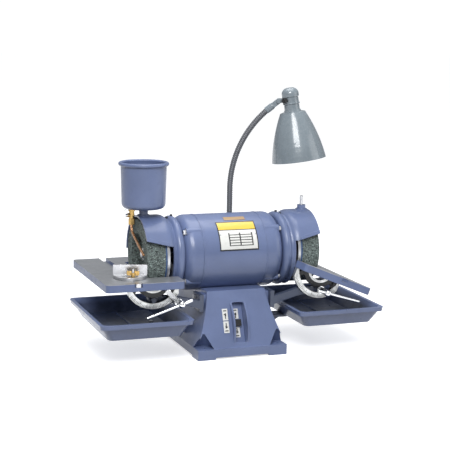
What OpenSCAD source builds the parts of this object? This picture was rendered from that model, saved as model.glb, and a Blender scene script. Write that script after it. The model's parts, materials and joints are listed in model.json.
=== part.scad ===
// Double-ended tool grinder: cast base, enclosed motor, two straight-cup wheels in half guards,
// two tilting tables with a mitre gauge, coolant pot and trays, and a gooseneck lamp.
// X runs along the shaft, Y runs back from the operator, Z is up.
// The origin is the centre of the base's bolt pattern, on the surface it stands on.

/* [Base] */
// Width of the foot along the shaft
base_w = 201; // [180:1:242]
// Depth of the foot
base_d = 259; // [215:1:312]
// Height of the solid corner pads
foot_h = 22; // [16:1:30]
// Width of the column where the motor sits
column_w = 132; // [110:1:158]
// Depth of the column where the motor sits
column_d = 160; // [140:1:180]
// Height of the column's top edge
column_z = 137; // [132:1:140]
// Wall of the base casting
base_wall = 7; // [5:0.5:9]
// Radius of the four foot bolt holes
foot_hole_r = 4.5; // [3.5:0.5:6]
// Distance from each foot bolt hole to the two edges of the foot
foot_hole_inset = 17; // [15:0.5:20]

/* [Motor] */
// Height of the shaft's centre line
shaft_z = 209; // [205:1:214]
// Outer radius of the motor shell
motor_r = 82; // [78:0.5:84]
// Half length of the motor shell
shell_half = 73; // [68:1:76]
// Wall of the motor shell
shell_wall = 4.5; // [3:0.5:5]
// Distance from the middle to the outer face of each end bell
bell_face_x = 112; // [110:1:114]
// Half length of the stator and rotor stacks
stack_half = 40; // [34:1:44]
// Gap between rotor and stator
air_gap = 0.6; // [0.4:0.1:1]
// Outer radius of the ball bearings
bearing_r = 23.5; // [22:0.5:26]
// Width of the ball bearings
bearing_w = 14; // [12:1:15]
// Radius of the shaft in the bearings
shaft_r = 10; // [9:0.5:11]

/* [Wheels and guards] */
// Diameter of the grinding wheels
wheel_d = 152.4; // [140:0.2:154]
// Width of the grinding wheels
wheel_w = 40; // [34:1:43]
// Distance from the middle to each wheel's grinding face
wheel_face_x = 196; // [190:1:200]
// Radius of the hollow in each wheel
cup_r = 46; // [40:1:54]
// Depth of the hollow in each wheel
cup_depth = 24; // [18:1:28]
// Thickness of the bonded disc behind each wheel
blotter_t = 4; // [2:0.5:5]
// Thickness of the steel wheel plate
plate_t = 6; // [4:0.5:8]
// Outer radius of the guard hood
hood_r = 84.6; // [82:0.2:88]
// Wall of the guards
guard_wall = 4.2; // [3:0.2:5]
// Distance from the middle to the stud that carries the coolant pot
stud_x = 183; // [180:1:186]
// Radius of the pot studs
stud_r = 4; // [3:0.5:5]
// Length of the pot studs above their boss
stud_len = 20; // [14:1:24]

/* [Tables] */
// Height of the table top when it is level
table_z = 176; // [172:1:180]
// Distance from the middle to each table's tilt axis
tilt_x = 190; // [187:1:193]
// Reach of the table outboard of its tilt axis
table_out = 112; // [95:1:125]
// Reach of the table's arms inboard of its tilt axis
table_in = 56; // [48:1:58]
// Front edge of the table, ahead of the shaft
table_front = 142; // [132:1:150]
// Back edge of the table, behind the shaft
table_back = 148; // [124:1:170]
// Thickness of the table's rim
table_t = 16; // [12:1:18]
// Tilt of the right table as it is set, outboard edge down
right_tilt = 22; // [0:1:28]
// Width of the mitre slot
slot_w = 16; // [12:1:20]
// Depth of the mitre slot
slot_h = 8; // [6:0.5:9]
// Distance from the tilt axis to the middle of the mitre slot
slot_off = 44; // [42:1:52]
// Outer radius of the tilt quadrants
quad_r = 64; // [60:1:68]
// Radius of the middle of the quadrants' curved slot
quad_slot_r = 46; // [44:0.5:48]
// Width of the quadrants' curved slot
quad_slot_w = 12; // [11:0.5:13]
// Thickness of the quadrants
quad_t = 10; // [8:0.5:12]
// Front face of the quadrants, ahead of the shaft
quad_y = 101; // [98:1:104]
// Radius of the clamp screws
clamp_r = 5; // [4:0.25:5]
// Set angle of the mitre gauge
mitre_angle = 15; // [0:1:30]

/* [Coolant pot and trays] */
// Radius of the coolant pot
pot_r = 49; // [42:0.5:58]
// Height of the coolant pot
pot_h = 95; // [78:1:114]
// Wall of the coolant pot
pot_wall = 2; // [1.5:0.5:3]
// Distance from the pot's middle to the drip tap
tap_off = 26; // [25:0.5:28]
// Radius of the copper drip tube
tube_r = 2.8; // [2:0.1:3.2]
// Inboard edge of the tray rims, from the middle
tray_in = 117; // [112:1:124]
// Width of the trays along the shaft
tray_w = 201; // [167:1:235]
// Front edge of the tray rims, ahead of the shaft
tray_front = 160; // [145:1:175]
// Back edge of the tray rims, behind the shaft
tray_back = 120; // [100:1:150]
// Height of the tray rims above the bench
tray_z = 96; // [90:1:98]
// Depth of the trays
tray_h = 36; // [30:1:38]
// Thickness of the tray castings
tray_t = 3; // [2:0.5:4]

/* [Lamp] */
// Radius of the gooseneck
neck_r = 5.5; // [4.5:0.5:6.5]
// Height at which the gooseneck starts to bend
neck_bend_z = 330; // [320:1:360]
// Radius of the gooseneck's bend
neck_bend_r = 240; // [200:1:260]
// Radius of the shade's mouth
shade_r = 61; // [50:1:70]
// Height of the shade
shade_h = 107; // [90:1:125]
// Tilt of the shade as it is set
shade_tilt = 9; // [0:0.5:12]

/* [Hidden] */
$fn = 96;
e = 0.05;              // running and seating clearance
wheel_r = wheel_d / 2;
stator_r = motor_r - shell_wall;
blotter_x = wheel_face_x - wheel_w - blotter_t;
plate_x = blotter_x - plate_t;
bearing_x = bell_face_x - 6 - bearing_w;
bolt_circle_r = stator_r - 3.5;
foot_x = base_w / 2 - foot_hole_inset;
foot_y = base_d / 2 - foot_hole_inset;
foot_ledge = 4.5;
face_angle = atan((base_d / 2 - foot_ledge - column_d / 2) / (column_z - foot_h));
recess_z = 72;
table_bottom = -table_t;
tray_floor_z = tray_z - tray_h;
boss_top = hood_r + 10;
pot_neck = 5;
pot_z = shaft_z + boss_top + pot_neck + 0.3;
left_clamp = -(quad_r + clamp_r + 1.2) * [cos(45), sin(45)];
right_clamp = [0, -quad_slot_r];
guide = [0, -quad_slot_r];
clamp_hub_y = quad_y + 36;
bar_angle = 18.4;
neck_plane = -25;
neck_x = 48;
neck_y = 95;
neck_gap = 2.2;        // opening between two lengths of the gooseneck
neck_a1 = 10;
neck_a2 = 31;
neck_a3 = 51;
paint = [0.46, 0.53, 0.67];
dark = [0.16, 0.17, 0.19];
steel = [0.72, 0.73, 0.75];
stone = [0.55, 0.60, 0.56];

// ---------- helpers ----------
// Points on an arc, from angle a to angle b, in n steps
function arc(cx, cy, r, a, b, n = 8) = [for (i = [0:n]) let (t = a + (b - a) * i / n) [cx + r * cos(t), cy + r * sin(t)]];
function flip(points) = [for (p = points) [p[1], p[0]]];

// A rod along X
module rod_x(x0, x1, r, fn = 96) {
    translate([x0, 0, 0]) rotate([0, 90, 0]) cylinder(h = x1 - x0, r = r, $fn = fn);
}
// A rod along Y, from y0 to y1
module rod_y(y0, y1, r, fn = 96) {
    translate([0, y1, 0]) rotate([90, 0, 0]) cylinder(h = y1 - y0, r = r, $fn = fn);
}
// A turned part about the X axis; points are [distance along X, radius]
module turned(points) {
    rotate([0, 90, 0]) rotate_extrude() polygon(flip(points));
}
// The same part on the left, s = -1, or on the right, s = 1
module side(s) {
    if (s < 0) mirror([1, 0, 0]) children();
    else children();
}
module at_shaft() {
    translate([0, 0, shaft_z]) children();
}
// Turned about X to an angle above the front horizon
module at_angle(a) {
    rotate([-a, 0, 0]) children();
}
// A flat rounded rectangle made of squares and circles
module rounded(w, d, r) {
    translate([r, 0]) square([w - 2 * r, d]);
    translate([0, r]) square([w, d - 2 * r]);
    for (x = [r, w - r], y = [r, d - r]) translate([x, y]) circle(r = r, $fn = 48);
}
// A flat bar between two points, with round ends
module link(a, b, r) {
    v = b - a;
    translate(a) rotate(atan2(v[1], v[0])) translate([0, -0.9 * r]) square([norm(v), 1.8 * r]);
    translate(a) circle(r = r);
    translate(b) circle(r = r);
}
// A flat outline in X and Z, made solid from y0 to y1
module upright(y0, y1) {
    translate([0, y1, 0]) rotate([90, 0, 0]) linear_extrude(height = y1 - y0) children();
}

// ---------- base ----------
// Half width and half depth of the base at height z
function half_w(z) = column_w / 2 + (base_w - column_w) / 2 * pow((column_z - z) / (column_z - foot_h), 1.4);
function half_d(z) = column_d / 2 + (base_d / 2 - foot_ledge - column_d / 2) * (column_z - z) / (column_z - foot_h);
function both_sides(half) = concat(half, [for (i = [len(half) - 1:-1:0]) [-half[i][0], half[i][1]]]);
function width_outline(inset, top) = both_sides(concat([[base_w / 2 - inset, inset > 0 ? -1 : 0]],
    [for (i = [0:8]) let (z = foot_h + (top - foot_h) * i / 8) [half_w(z) - inset, z]]));
function depth_outline(inset, top) = both_sides([[base_d / 2 - inset, inset > 0 ? -1 : 0],
    [base_d / 2 - inset, foot_h], [half_d(foot_h) - inset, foot_h + 0.01], [half_d(top) - inset, top]]);
module base_body(inset, top) {
    intersection() {
        upright(-base_d, base_d) polygon(width_outline(inset, top));
        rotate([90, 0, 90]) linear_extrude(height = 2 * base_w, center = true) polygon(depth_outline(inset, top));
    }
}
// Placed on the sloping front face, at height z
module on_front(z) {
    translate([0, -half_d(z), z]) rotate([-face_angle, 0, 0]) children();
}
module foot_posts(r, z0, z1) {
    for (x = [-foot_x, foot_x], y = [-foot_y, foot_y]) translate([x, y, z0]) cylinder(h = z1 - z0, r = r);
}
// Cones that stand on the feet: the scoops, and the walls behind them
module foot_cones(h, r1, r2) {
    for (x = [-foot_x, foot_x], y = [-foot_y, foot_y]) translate([x, y, foot_h]) cylinder(h = h, r1 = r1, r2 = r2);
}
post_r = 29;
// Faces of the pads that the brackets bolt to, clear of the flared sides
table_pad_x = max(column_w / 2 + 10, half_w(96) + 0.5);
tray_pad_x = max(half_w(tray_floor_z) + 10, half_w(tray_floor_z - 24) + 0.5);
recess_w = 27;
recess_h = 86;
recess_depth = 14;
// A hand guard rib beside the switch recess
module switch_rib(x) {
    rib_rise = 12;
    rib_r = (recess_h * recess_h / 4 + rib_rise * rib_rise) / (2 * rib_rise);
    translate([x, 0, 0]) rotate([90, 0, 90]) linear_extrude(height = 4) intersection() {
        translate([rib_r - rib_rise, 0]) circle(r = rib_r);
        translate([-rib_rise - 1, -recess_h / 2]) square([rib_rise + 3, recess_h]);
    }
}
module tray_pad(s) {
    inner = half_w(tray_floor_z) - 12;
    side(s) translate([inner, -22, tray_floor_z - 26]) cube([tray_pad_x - inner, 44, 28]);
}
module bracket_pad(s) {
    inner = column_w / 2 - 10;
    side(s) translate([inner, -79, 98]) cube([table_pad_x - inner, 31, 32]);
}
module base_casting() {
    roof_z = shaft_z - motor_r - 8;
    color(paint) difference() {
        union() {
            difference() {
                base_body(0, column_z);
                base_body(base_wall, roof_z);
            }
            intersection() {
                base_body(0, column_z);
                union() {
                    foot_posts(post_r, 0, foot_h);
                    foot_cones(36, post_r, 6);
                    on_front(recess_z) translate([-recess_w / 2 - 5, 0, -recess_h / 2 - 5])
                        cube([recess_w + 10, recess_depth + 5, recess_h + 10]);
                }
            }
            on_front(recess_z) {
                switch_rib(recess_w / 2);
                switch_rib(-recess_w / 2 - 4);
            }
            tray_pad(-1);
            tray_pad(1);
            bracket_pad(-1);
            bracket_pad(1);
        }
        at_shaft() rod_x(-base_w, base_w, motor_r + e);
        foot_posts(foot_hole_r, -1, foot_h + 1);
        // scooped corners that give room for the foot bolts
        foot_cones(31, 23.5, 2);
        // relief between the corner pads
        translate([0, 0, -1]) linear_extrude(height = 5) {
            square([base_w - 80, base_d + 10], center = true);
            square([base_w + 10, base_d - 80], center = true);
        }
        on_front(recess_z) {
            translate([0, recess_depth, 0]) rotate([90, 0, 0]) translate([-recess_w / 2, -recess_h / 2, 0])
                linear_extrude(height = recess_depth + 20) rounded(recess_w, recess_h, 5);
            translate([-8, 1, -23]) cube([16, 24, 46]);
        }
        // wires come down from the motor
        translate([0, 0, roof_z - 10]) cylinder(h = 30, r = 12);
        // gland hole in the back face
        translate([-50, half_d(45), 45]) rotate([face_angle, 0, 0]) rod_y(-12, 6, 8);
        for (s = [-1, 1]) side(s) {
            for (y = [-12, 12]) translate([0, y, tray_floor_z - 12]) rod_x(half_w(tray_floor_z) - 14, base_w, 2.5);
            for (z = [104, 124]) translate([0, -60, z]) rod_x(column_w / 2 - 12, base_w, 3);
        }
    }
}
module bottom_cover() {
    color(dark) translate([0, 0, 5]) linear_extrude(height = 1.5) difference() {
        square([base_w - 2 * base_wall - 1, base_d - 2 * base_wall - 1], center = true);
        for (x = [-foot_x, foot_x], y = [-foot_y, foot_y]) translate([x, y]) circle(r = post_r + 0.5);
        for (i = [-3:3]) translate([i * 18, 60]) square([5, 60], center = true);
    }
}

// ---------- motor ----------
module motor_shell() {
    color(paint) at_shaft() difference() {
        union() {
            rod_x(-shell_half, shell_half, motor_r);
            // raised joint bead at each end
            for (s = [-1, 1]) side(s) rod_x(shell_half - 3, shell_half, motor_r + 0.6);
        }
        rod_x(-shell_half - 1, shell_half + 1, stator_r);
        translate([0, 0, -motor_r - 5]) cylinder(h = 20, r = 10);
        translate([neck_x, 0, 11]) rod_y(50, 100, 4);
    }
}
module end_bell(s) {
    round_r = 22;
    dome_x = bell_face_x - round_r;
    inner_r = 16;
    hub_x = bearing_x - 4;
    color(paint) at_shaft() side(s) difference() {
        union() {
            turned(concat([[shell_half, motor_r - 6], [shell_half, motor_r]],
                arc(dome_x, motor_r - round_r, round_r, 90, 0, 10),
                [[bell_face_x, 12], [bell_face_x - 6, 12], [bell_face_x - 6, bearing_r + e], [hub_x, bearing_r + e],
                [hub_x, bearing_r + 6], [bell_face_x - 6, bearing_r + 6], [bell_face_x - 6, motor_r - round_r]],
                arc(dome_x, motor_r - round_r, inner_r, 0, 90, 8)));
            // ears that the through bolts clamp
            for (a = [45, 135, 225, 315]) at_angle(a) translate([0, -bolt_circle_r, 0]) rod_x(shell_half + 0.2, bell_face_x - 6.4, 9);
            // ribs inside that stiffen the dome
            for (a = [0, 90, 180, 270]) at_angle(a) translate([bell_face_x - 14, -bearing_r - 33, -2]) cube([10, 29, 4]);
        }
        for (a = [45, 135, 225, 315]) at_angle(a) translate([0, -bolt_circle_r, 0]) {
            rod_x(shell_half - 1, bell_face_x, 3 + e);
            // spot face under the bolt's washer
            rod_x(bell_face_x - 6.05, bell_face_x + 1, 7);
        }
        for (a = guard_screw_angles) at_angle(a) translate([0, -guard_screw_r, 0]) rod_x(bell_face_x - 10, bell_face_x + 1, 2.5 + e);
    }
}
module end_bell_left() { end_bell(-1); }
module end_bell_right() { end_bell(1); }
module motor_through_bolts() {
    color(steel) at_shaft() for (a = [45, 135, 225, 315]) at_angle(a) translate([0, -bolt_circle_r, 0]) {
        rod_x(-bell_face_x + 6, bell_face_x - 6, 3);
        for (s = [-1, 1]) side(s) {
            rod_x(bell_face_x - 6, bell_face_x - 4.8, 6.5);
            rod_x(bell_face_x - 4.8, bell_face_x - 0.4, 5.2, 6);
        }
    }
}
module stator_core() {
    bore_r = rotor_r + air_gap;
    color("dimgray") at_shaft() difference() {
        rod_x(-stack_half, stack_half, stator_r - e);
        rod_x(-stack_half - 1, stack_half + 1, bore_r);
        for (a = [45, 135, 225, 315]) at_angle(a) translate([0, -bolt_circle_r, 0]) rod_x(-stack_half - 1, stack_half + 1, 4.5);
        for (i = [0:23]) at_angle(i * 15) translate([0, -bore_r - 9, 0]) rod_x(-stack_half - 1, stack_half + 1, 3.6, 24);
    }
}
module stator_windings() {
    color("peru") at_shaft() for (s = [-1, 1]) side(s) turned(concat(
        arc(stack_half + 15, stator_r - 12.5, 5, 90, 0, 4), arc(stack_half + 15, 55, 5, 0, -90, 4),
        [[stack_half + 0.2, 50], [stack_half + 0.2, stator_r - 7.5]]));
}
rotor_r = 45.4;
module rotor_core() {
    color("gray") at_shaft() difference() {
        union() {
            rod_x(-stack_half, stack_half, rotor_r);
            for (s = [-1, 1]) side(s) {
                turned([[stack_half, 28], [stack_half + 8, 28], [stack_half + 8, 43], [stack_half, 44]]);
                for (i = [0:7]) at_angle(i * 45) translate([stack_half, -42, -1.2]) cube([18, 12, 2.4]);
            }
        }
        rod_x(-stack_half - 20, stack_half + 20, shaft_r + 4 + 0.01);
    }
}
module shaft() {
    step = 1.5;
    color(steel) at_shaft() for (s = [-1, 1]) side(s) {
        turned([[0, 0], [0, shaft_r + 4], [stack_half + 6, shaft_r + 4], [stack_half + 6, shaft_r + 2],
            [bearing_x, shaft_r + 2], [bearing_x, shaft_r], [plate_x - 14, shaft_r], [plate_x - 14, shaft_r - 0.5],
            [blotter_x + 12, shaft_r - 0.5], [blotter_x + 12, shaft_r - 2],
            [wheel_face_x - 8 - step, shaft_r - 2], [wheel_face_x - 8, shaft_r - 2 - step], [wheel_face_x - 8, 0]]);
    }
}
ball_circle_r = (shaft_r + bearing_r) / 2;
module bearing_outer_rings() {
    ball_x = bearing_x + bearing_w / 2;
    color(steel) at_shaft() for (s = [-1, 1]) side(s) turned(concat(
        [[bearing_x, bearing_r], [bearing_x, ball_circle_r + 3]],
        arc(ball_x, ball_circle_r, 4.1, 133, 47, 10),
        [[bearing_x + bearing_w, ball_circle_r + 3], [bearing_x + bearing_w, bearing_r]]));
}
module bearing_inner_rings() {
    ball_x = bearing_x + bearing_w / 2;
    color(steel) at_shaft() for (s = [-1, 1]) side(s) {
        turned(concat([[bearing_x, shaft_r + 0.01], [bearing_x, ball_circle_r - 3]],
            arc(ball_x, ball_circle_r, 4.1, 227, 313, 10),
            [[bearing_x + bearing_w, ball_circle_r - 3], [bearing_x + bearing_w, shaft_r + 0.01]]));
        for (i = [0:7]) at_angle(i * 45) translate([ball_x, -ball_circle_r, 0]) sphere(r = 4, $fn = 32);
    }
}
module data_plate() {
    color("gold") at_shaft() {
        plate_piece(-37, 51, 9.5, 58);
        plate_piece(-14, 34, 62, 70);
    }
}
// A curved plate on the motor shell, from x0 to x1 and from angle a0 to a1 above the front horizon
module plate_piece(x0, x1, a0, a1) {
    rotate([0, 90, 0]) rotate([0, 0, 270 - a1]) rotate_extrude(angle = a1 - a0)
        translate([motor_r + e, x0]) square([0.8, x1 - x0]);
}
module plate_rivets() {
    color(steel) at_shaft() for (x = [-33, 47], a = [34]) at_angle(a) translate([x, -motor_r - 0.8 - e, 0]) intersection() {
        sphere(r = 1.8, $fn = 24);
        translate([-3, -3, -3]) cube([6, 3, 6]);
    }
}

// ---------- guards ----------
guard_screw_angles = [10, 130, 250];
guard_screw_r = 46;
module guard_shell() {
    shoulder_x = wheel_face_x - 44;
    shoulder_r = hood_r - 22;
    bead_r = 10;
    bead_x = bell_face_x + 0.2 + bead_r;
    bead_c = hood_r - 3.6 - bead_r;
    edge_x = wheel_face_x + 1;
    turned(concat([[bell_face_x + 0.2, 24]],
        arc(bead_x, bead_c, bead_r, 180, 50, 8),
        [[bead_x + 9.4, bead_c + 4.2]],
        arc(shoulder_x, shoulder_r, 22, 140, 90, 8),
        [[edge_x, hood_r], [edge_x, hood_r - guard_wall]],
        arc(shoulder_x, shoulder_r, 22 - guard_wall, 90, 140, 8),
        [[bead_x + 9.4, bead_c + 4.2 - 1.1 * guard_wall]],
        arc(bead_x, bead_c, bead_r - guard_wall, 50, 180, 8),
        [[bell_face_x + 0.2 + guard_wall, 24]]));
}
// The side view of what is cut away below the hood's lip, in front (s = -1) and behind (s = 1)
hood_cut_x = 139;
lip_in_z = 236;
lip_out_z = 250;
module hood_cut() {
    edge_x = wheel_face_x + 2;
    upright(-wheel_d, 0) polygon([[hood_cut_x, 0], [edge_x, 0], [edge_x, lip_out_z - shaft_z], [hood_cut_x, lip_in_z - shaft_z]]);
    upright(0, wheel_d) polygon([[hood_cut_x, 0], [edge_x, 0], [edge_x, -24], [hood_cut_x, -24]]);
    translate([hood_cut_x, -wheel_d, -wheel_d]) cube([edge_x - hood_cut_x, wheel_d, wheel_d]);
    translate([hood_cut_x, 0, -wheel_d]) cube([edge_x - hood_cut_x, wheel_d, wheel_d - 24]);
}
module guard(s) {
    edge_x = wheel_face_x + 1;
    color(paint) at_shaft() side(s) {
        difference() {
            union() {
                guard_shell();
                // thick lip along the hood's front edge
                intersection() {
                    turned([[hood_cut_x, hood_r - guard_wall], [hood_cut_x, hood_r + 1.6], [edge_x, hood_r + 1.6], [edge_x, hood_r - guard_wall]]);
                    upright(-wheel_d, 0) polygon([[hood_cut_x, lip_in_z - shaft_z], [edge_x, lip_out_z - shaft_z],
                        [edge_x, lip_out_z - shaft_z + 7], [hood_cut_x, lip_in_z - shaft_z + 7]]);
                    upright(-wheel_d, 0) translate([shoulder_start, 0]) square([wheel_d, wheel_d]);
                }
                translate([stud_x, 0, hood_r - 3]) cylinder(h = 13, r = 9.5);
                translate([stud_x, 0, hood_r - 3]) cylinder(h = 4.5, r = 13);
            }
            hood_cut();
            translate([stud_x, 0, hood_r - 8]) cylinder(h = 30, r = stud_r + 1 + e);
            for (a = guard_screw_angles) at_angle(a) translate([0, -guard_screw_r, 0]) rod_x(bell_face_x - 1, bell_face_x + 8, 3);
            for (x = ring_screws) translate([x, 0, 60]) cylinder(h = 40, r = 2.8 + e);
        }
    }
}
shoulder_start = wheel_face_x - 46;
module guard_left() { guard(-1); }
module guard_right() { guard(1); }
module guard_screws() {
    color(dark) at_shaft() for (s = [-1, 1]) side(s) {
        for (a = guard_screw_angles) at_angle(a) translate([0, -guard_screw_r, 0]) {
            rod_x(bell_face_x - 8, bell_face_x + guard_wall + 0.2, 2.5);
            rod_x(bell_face_x + guard_wall + 0.2, bell_face_x + guard_wall + 5.2, 4.5);
        }
        // two cap screws on top of the guard's ring
        translate([ring_screws[0], 0, hood_r - 9]) cylinder(h = 8.5, r = 2.8);
        translate([ring_screws[1], 0, hood_r - 15]) cylinder(h = 9.5, r = 2.8);
    }
}
ring_screws = [bell_face_x + 9.5, bell_face_x + 19.5];
module pot_studs() {
    color(steel) at_shaft() for (s = [-1, 1]) side(s) translate([stud_x, 0, 0]) {
        // thicker root that is fixed in the guard's boss
        translate([0, 0, hood_r - guard_wall + 0.4]) cylinder(h = boss_top + 0.05 - hood_r + guard_wall - 0.4, r = stud_r + 1);
        translate([0, 0, boss_top]) cylinder(h = stud_len - 1, r = stud_r);
        translate([0, 0, boss_top + stud_len - 1]) cylinder(h = 1, r1 = stud_r, r2 = stud_r - 1);
    }
}

// ---------- rotating wheels ----------
plate_screw_r = 52;
module wheel_plate(s) {
    color(steel) at_shaft() side(s) difference() {
        turned([[plate_x - 14, shaft_r - 0.5 + 0.01], [plate_x - 14, 16], [plate_x, 18], [plate_x, wheel_r - 0.4],
            [plate_x + 0.6, wheel_r], [blotter_x - 0.6, wheel_r], [blotter_x, wheel_r - 0.4], [blotter_x, 15.5],
            [blotter_x + 12, 15.5], [blotter_x + 12, shaft_r - 0.5 + 0.01]]);
        for (a = [0, 90, 180, 270]) at_angle(a + 45) translate([0, -plate_screw_r, 0]) rod_x(plate_x - 1, blotter_x + 1, 3);
    }
}
module wheel_plate_left() { wheel_plate(-1); }
module wheel_plate_right() { wheel_plate(1); }
module wheel_blotters() {
    color("steelblue") at_shaft() for (s = [-1, 1]) side(s)
        turned([[blotter_x, 15.6], [blotter_x, wheel_r - 0.6], [blotter_x + blotter_t, wheel_r - 0.6], [blotter_x + blotter_t, 15.6]]);
}
module wheel(s) {
    back_x = wheel_face_x - wheel_w;
    floor_x = wheel_face_x - cup_depth;
    color(stone) at_shaft() side(s) turned(concat([[back_x, 15.6], [back_x, wheel_r], [wheel_face_x - 1, wheel_r],
        [wheel_face_x, wheel_r - 1], [wheel_face_x, cup_r]],
        arc(floor_x + 4, cup_r - 4, 4, 90, 180, 4), [[floor_x, 15.6]]));
}
module wheel_left() { wheel(-1); }
module wheel_right() { wheel(1); }
module shaft_nuts() {
    floor_x = wheel_face_x - cup_depth;
    color(steel) at_shaft() for (s = [-1, 1]) side(s) difference() {
        union() {
            rod_x(floor_x, floor_x + 2.5, 22);
            rod_x(floor_x + 2.5, floor_x + 12, 14, 6);
        }
        rod_x(floor_x - 1, floor_x + 13, shaft_r - 2 + 0.01);
    }
}

// ---------- tables ----------
// A right-hand table part, in coordinates about its tilt axis: X outboard, Y back, Z up from the table top
module on_table(s) {
    side(s) translate([tilt_x, 0, table_z]) rotate([0, s < 0 ? 0 : right_tilt, 0]) children();
}
// The same place, but fixed to the frame, so it doesn't tilt
module by_table(s) {
    side(s) translate([tilt_x, 0, table_z]) children();
}
notch_off = wheel_face_x + 3 - tilt_x;
notch_front = 89.5;
notch_back = 93;
lug_x = 42;
lug_z = -21.5;
module table(s) {
    table_d = table_front + table_back;
    skin = 8;
    rim = 7;
    color(paint) on_table(s) difference() {
        union() {
            difference() {
                translate([-table_in, -table_front, table_bottom]) linear_extrude(height = table_t) rounded(table_in + table_out, table_d, 9);
                // hollow underside of the outboard half
                translate([notch_off + 14, -table_front + rim, table_bottom - 1])
                    cube([slot_off - slot_w / 2 - 5 - notch_off - 14, table_d - 2 * rim, table_t - skin + 1]);
                translate([slot_off + slot_w / 2 + 5, -table_front + rim, table_bottom - 1])
                    cube([table_out - rim - slot_off - slot_w / 2 - 5, table_d - 2 * rim, table_t - skin + 1]);
                // opening around the wheel
                translate([-table_in - 7, -notch_front, table_bottom - 1]) linear_extrude(height = table_t + 2)
                    rounded(table_in + 7 + notch_off, notch_front + notch_back, 6);
                // bevel under the opening's edge, so the table tilts close to the wheel
                upright(-notch_front + 0.01, notch_back) polygon([[notch_off - 1, -1.5], [notch_off, -1.5],
                    [notch_off + 11, table_bottom - 0.6], [notch_off - 1, table_bottom - 0.6]]);
                // mitre slot
                translate([slot_off - slot_w / 2, -table_front - 1, -slot_h]) cube([slot_w, table_d + 2, slot_h + 1]);
            }
            // lugs that carry the quadrant
            for (x = [-lug_x, lug_x]) translate([x - 6, -quad_y + quad_t, lug_z - 6]) cube([12, 11.5, -slot_h - 1 - lug_z + 6]);
        }
        for (x = [-lug_x, lug_x]) translate([x, 0, lug_z]) rod_y(-quad_y, -quad_y + 30, 2.5 + e);
    }
}
module table_left() { table(-1); }
module table_right() { table(1); }
module quadrant_slot() {
    slot_end = 42;
    reach = 2 * quad_r;
    intersection() {
        difference() {
            circle(r = quad_slot_r + quad_slot_w / 2);
            circle(r = quad_slot_r - quad_slot_w / 2);
        }
        polygon([[0, 0], reach * [cos(slot_end), -sin(slot_end)], [0, -2 * reach], reach * [-cos(slot_end), -sin(slot_end)]]);
    }
    for (a = [-slot_end, slot_end - 180]) rotate(a) translate([quad_slot_r, 0]) circle(r = quad_slot_w / 2 - 0.1);
}
module quadrant_plate(outer, inner) {
    difference() {
        intersection() {
            circle(r = outer, $fn = 160);
            translate([-54.5, -quad_r - 1]) square([109, quad_r + 1 + table_bottom - 0.6]);
        }
        circle(r = inner);
    }
}
module quadrant(s) {
    color("gainsboro") on_table(s) {
        upright(-quad_y, -quad_y + quad_t) difference() {
            quadrant_plate(quad_r, 27.5);
            quadrant_slot();
            for (x = [-lug_x, lug_x]) translate([x, lug_z]) circle(r = 2.5 + e);
        }
        upright(-quad_y + 0.8, -quad_y + quad_t + 16) intersection() {
            quadrant_plate(30, 25);
            translate([-40, -60]) square([80, 60 + table_bottom - 1.2]);
        }
        // hexagon screws into the table's lugs
        for (x = [-lug_x, lug_x]) translate([x, 0, lug_z]) {
            rod_y(-quad_y, -quad_y + quad_t + 8, 2.5);
            rod_y(-quad_y - 3.6, -quad_y, 4.6, 6);
        }
    }
}
module quadrant_left() { quadrant(-1); }
module quadrant_right() { quadrant(1); }

// ---------- table brackets and clamps ----------
arm_y = quad_y - quad_t - 0.5;
module table_bracket(s) {
    clamp = s < 0 ? left_clamp : right_clamp;
    root = [table_pad_x + 10 - tilt_x, 112 - table_z];
    color(dark) side(s) difference() {
        union() {
            translate([table_pad_x + 0.2, -arm_y, 96]) cube([9, arm_y - 46, 36]);
            translate([tilt_x, 0, table_z]) {
                upright(-arm_y, -arm_y + 13) {
                    link(root, [left_clamp[0], left_clamp[1]], 9);
                    link([left_clamp[0], left_clamp[1]], guide, 9);
                }
                if (s < 0) translate([guide[0], 0, guide[1]]) rod_y(-quad_y - 1, -arm_y + 2, clamp_r + 0.5);
                translate([clamp[0], 0, clamp[1]]) rod_y(-arm_y + 3, -arm_y + 22, 8.4);
            }
        }
        translate([tilt_x, 0, table_z]) {
            translate([clamp[0], 0, clamp[1]]) rod_y(-quad_y - 2, -arm_y + 23, clamp_r + e);
        }
        for (z = [104, 124]) translate([0, -60, z]) rod_x(column_w / 2, base_w, 3.2);
    }
}
module table_bracket_left() { table_bracket(-1); }
module table_bracket_right() { table_bracket(1); }
module clamp_strap_left() {
    reach = norm(left_clamp);
    swing = atan2(left_clamp[1], left_clamp[0]);
    color("slategray") by_table(-1) rotate([0, -swing, 0]) difference() {
        union() {
            translate([0, -quad_y - 12, 0]) {
                translate([34, 0, -4.5]) cube([reach - 34, 6.5, 9]);
                translate([reach, 0, 0]) rod_y(0, 6.5, 8.5);
                translate([34, 0, -4.5]) cube([5.2, 11.7, 9]);
            }
        }
        translate([reach, 0, 0]) rod_y(-quad_y - 13, -quad_y + 1, clamp_r + e);
        // grooves along the strap
        for (z = [-1.9, 1.9]) translate([36, -quad_y - 13, z - 0.6]) cube([reach - 47, 2, 1.2]);
    }
}
module clamp_screw(s) {
    clamp = s < 0 ? left_clamp : right_clamp;
    seat_y = s < 0 ? quad_y + 12.2 : quad_y + 0.35;
    color(steel) by_table(s) translate([clamp[0], 0, clamp[1]]) difference() {
        union() {
            rod_y(-clamp_hub_y + 5, -arm_y + 20, clamp_r);
            rod_y(-clamp_hub_y + 4, -seat_y - 1.5, 6.2);
            rod_y(-seat_y - 1.8, -seat_y, 8.4);
            translate([0, -clamp_hub_y, 0]) rotate([90, 0, 0]) rotate([0, 0, 60]) sphere(r = 8.2);
        }
        translate([0, -clamp_hub_y, 0]) rotate([0, bar_turn(s), 0]) rod_x(-12, 12, bar_r + e);
    }
}
bar_r = 3.4;
bar_long = 79;
bar_short = 24;
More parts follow.
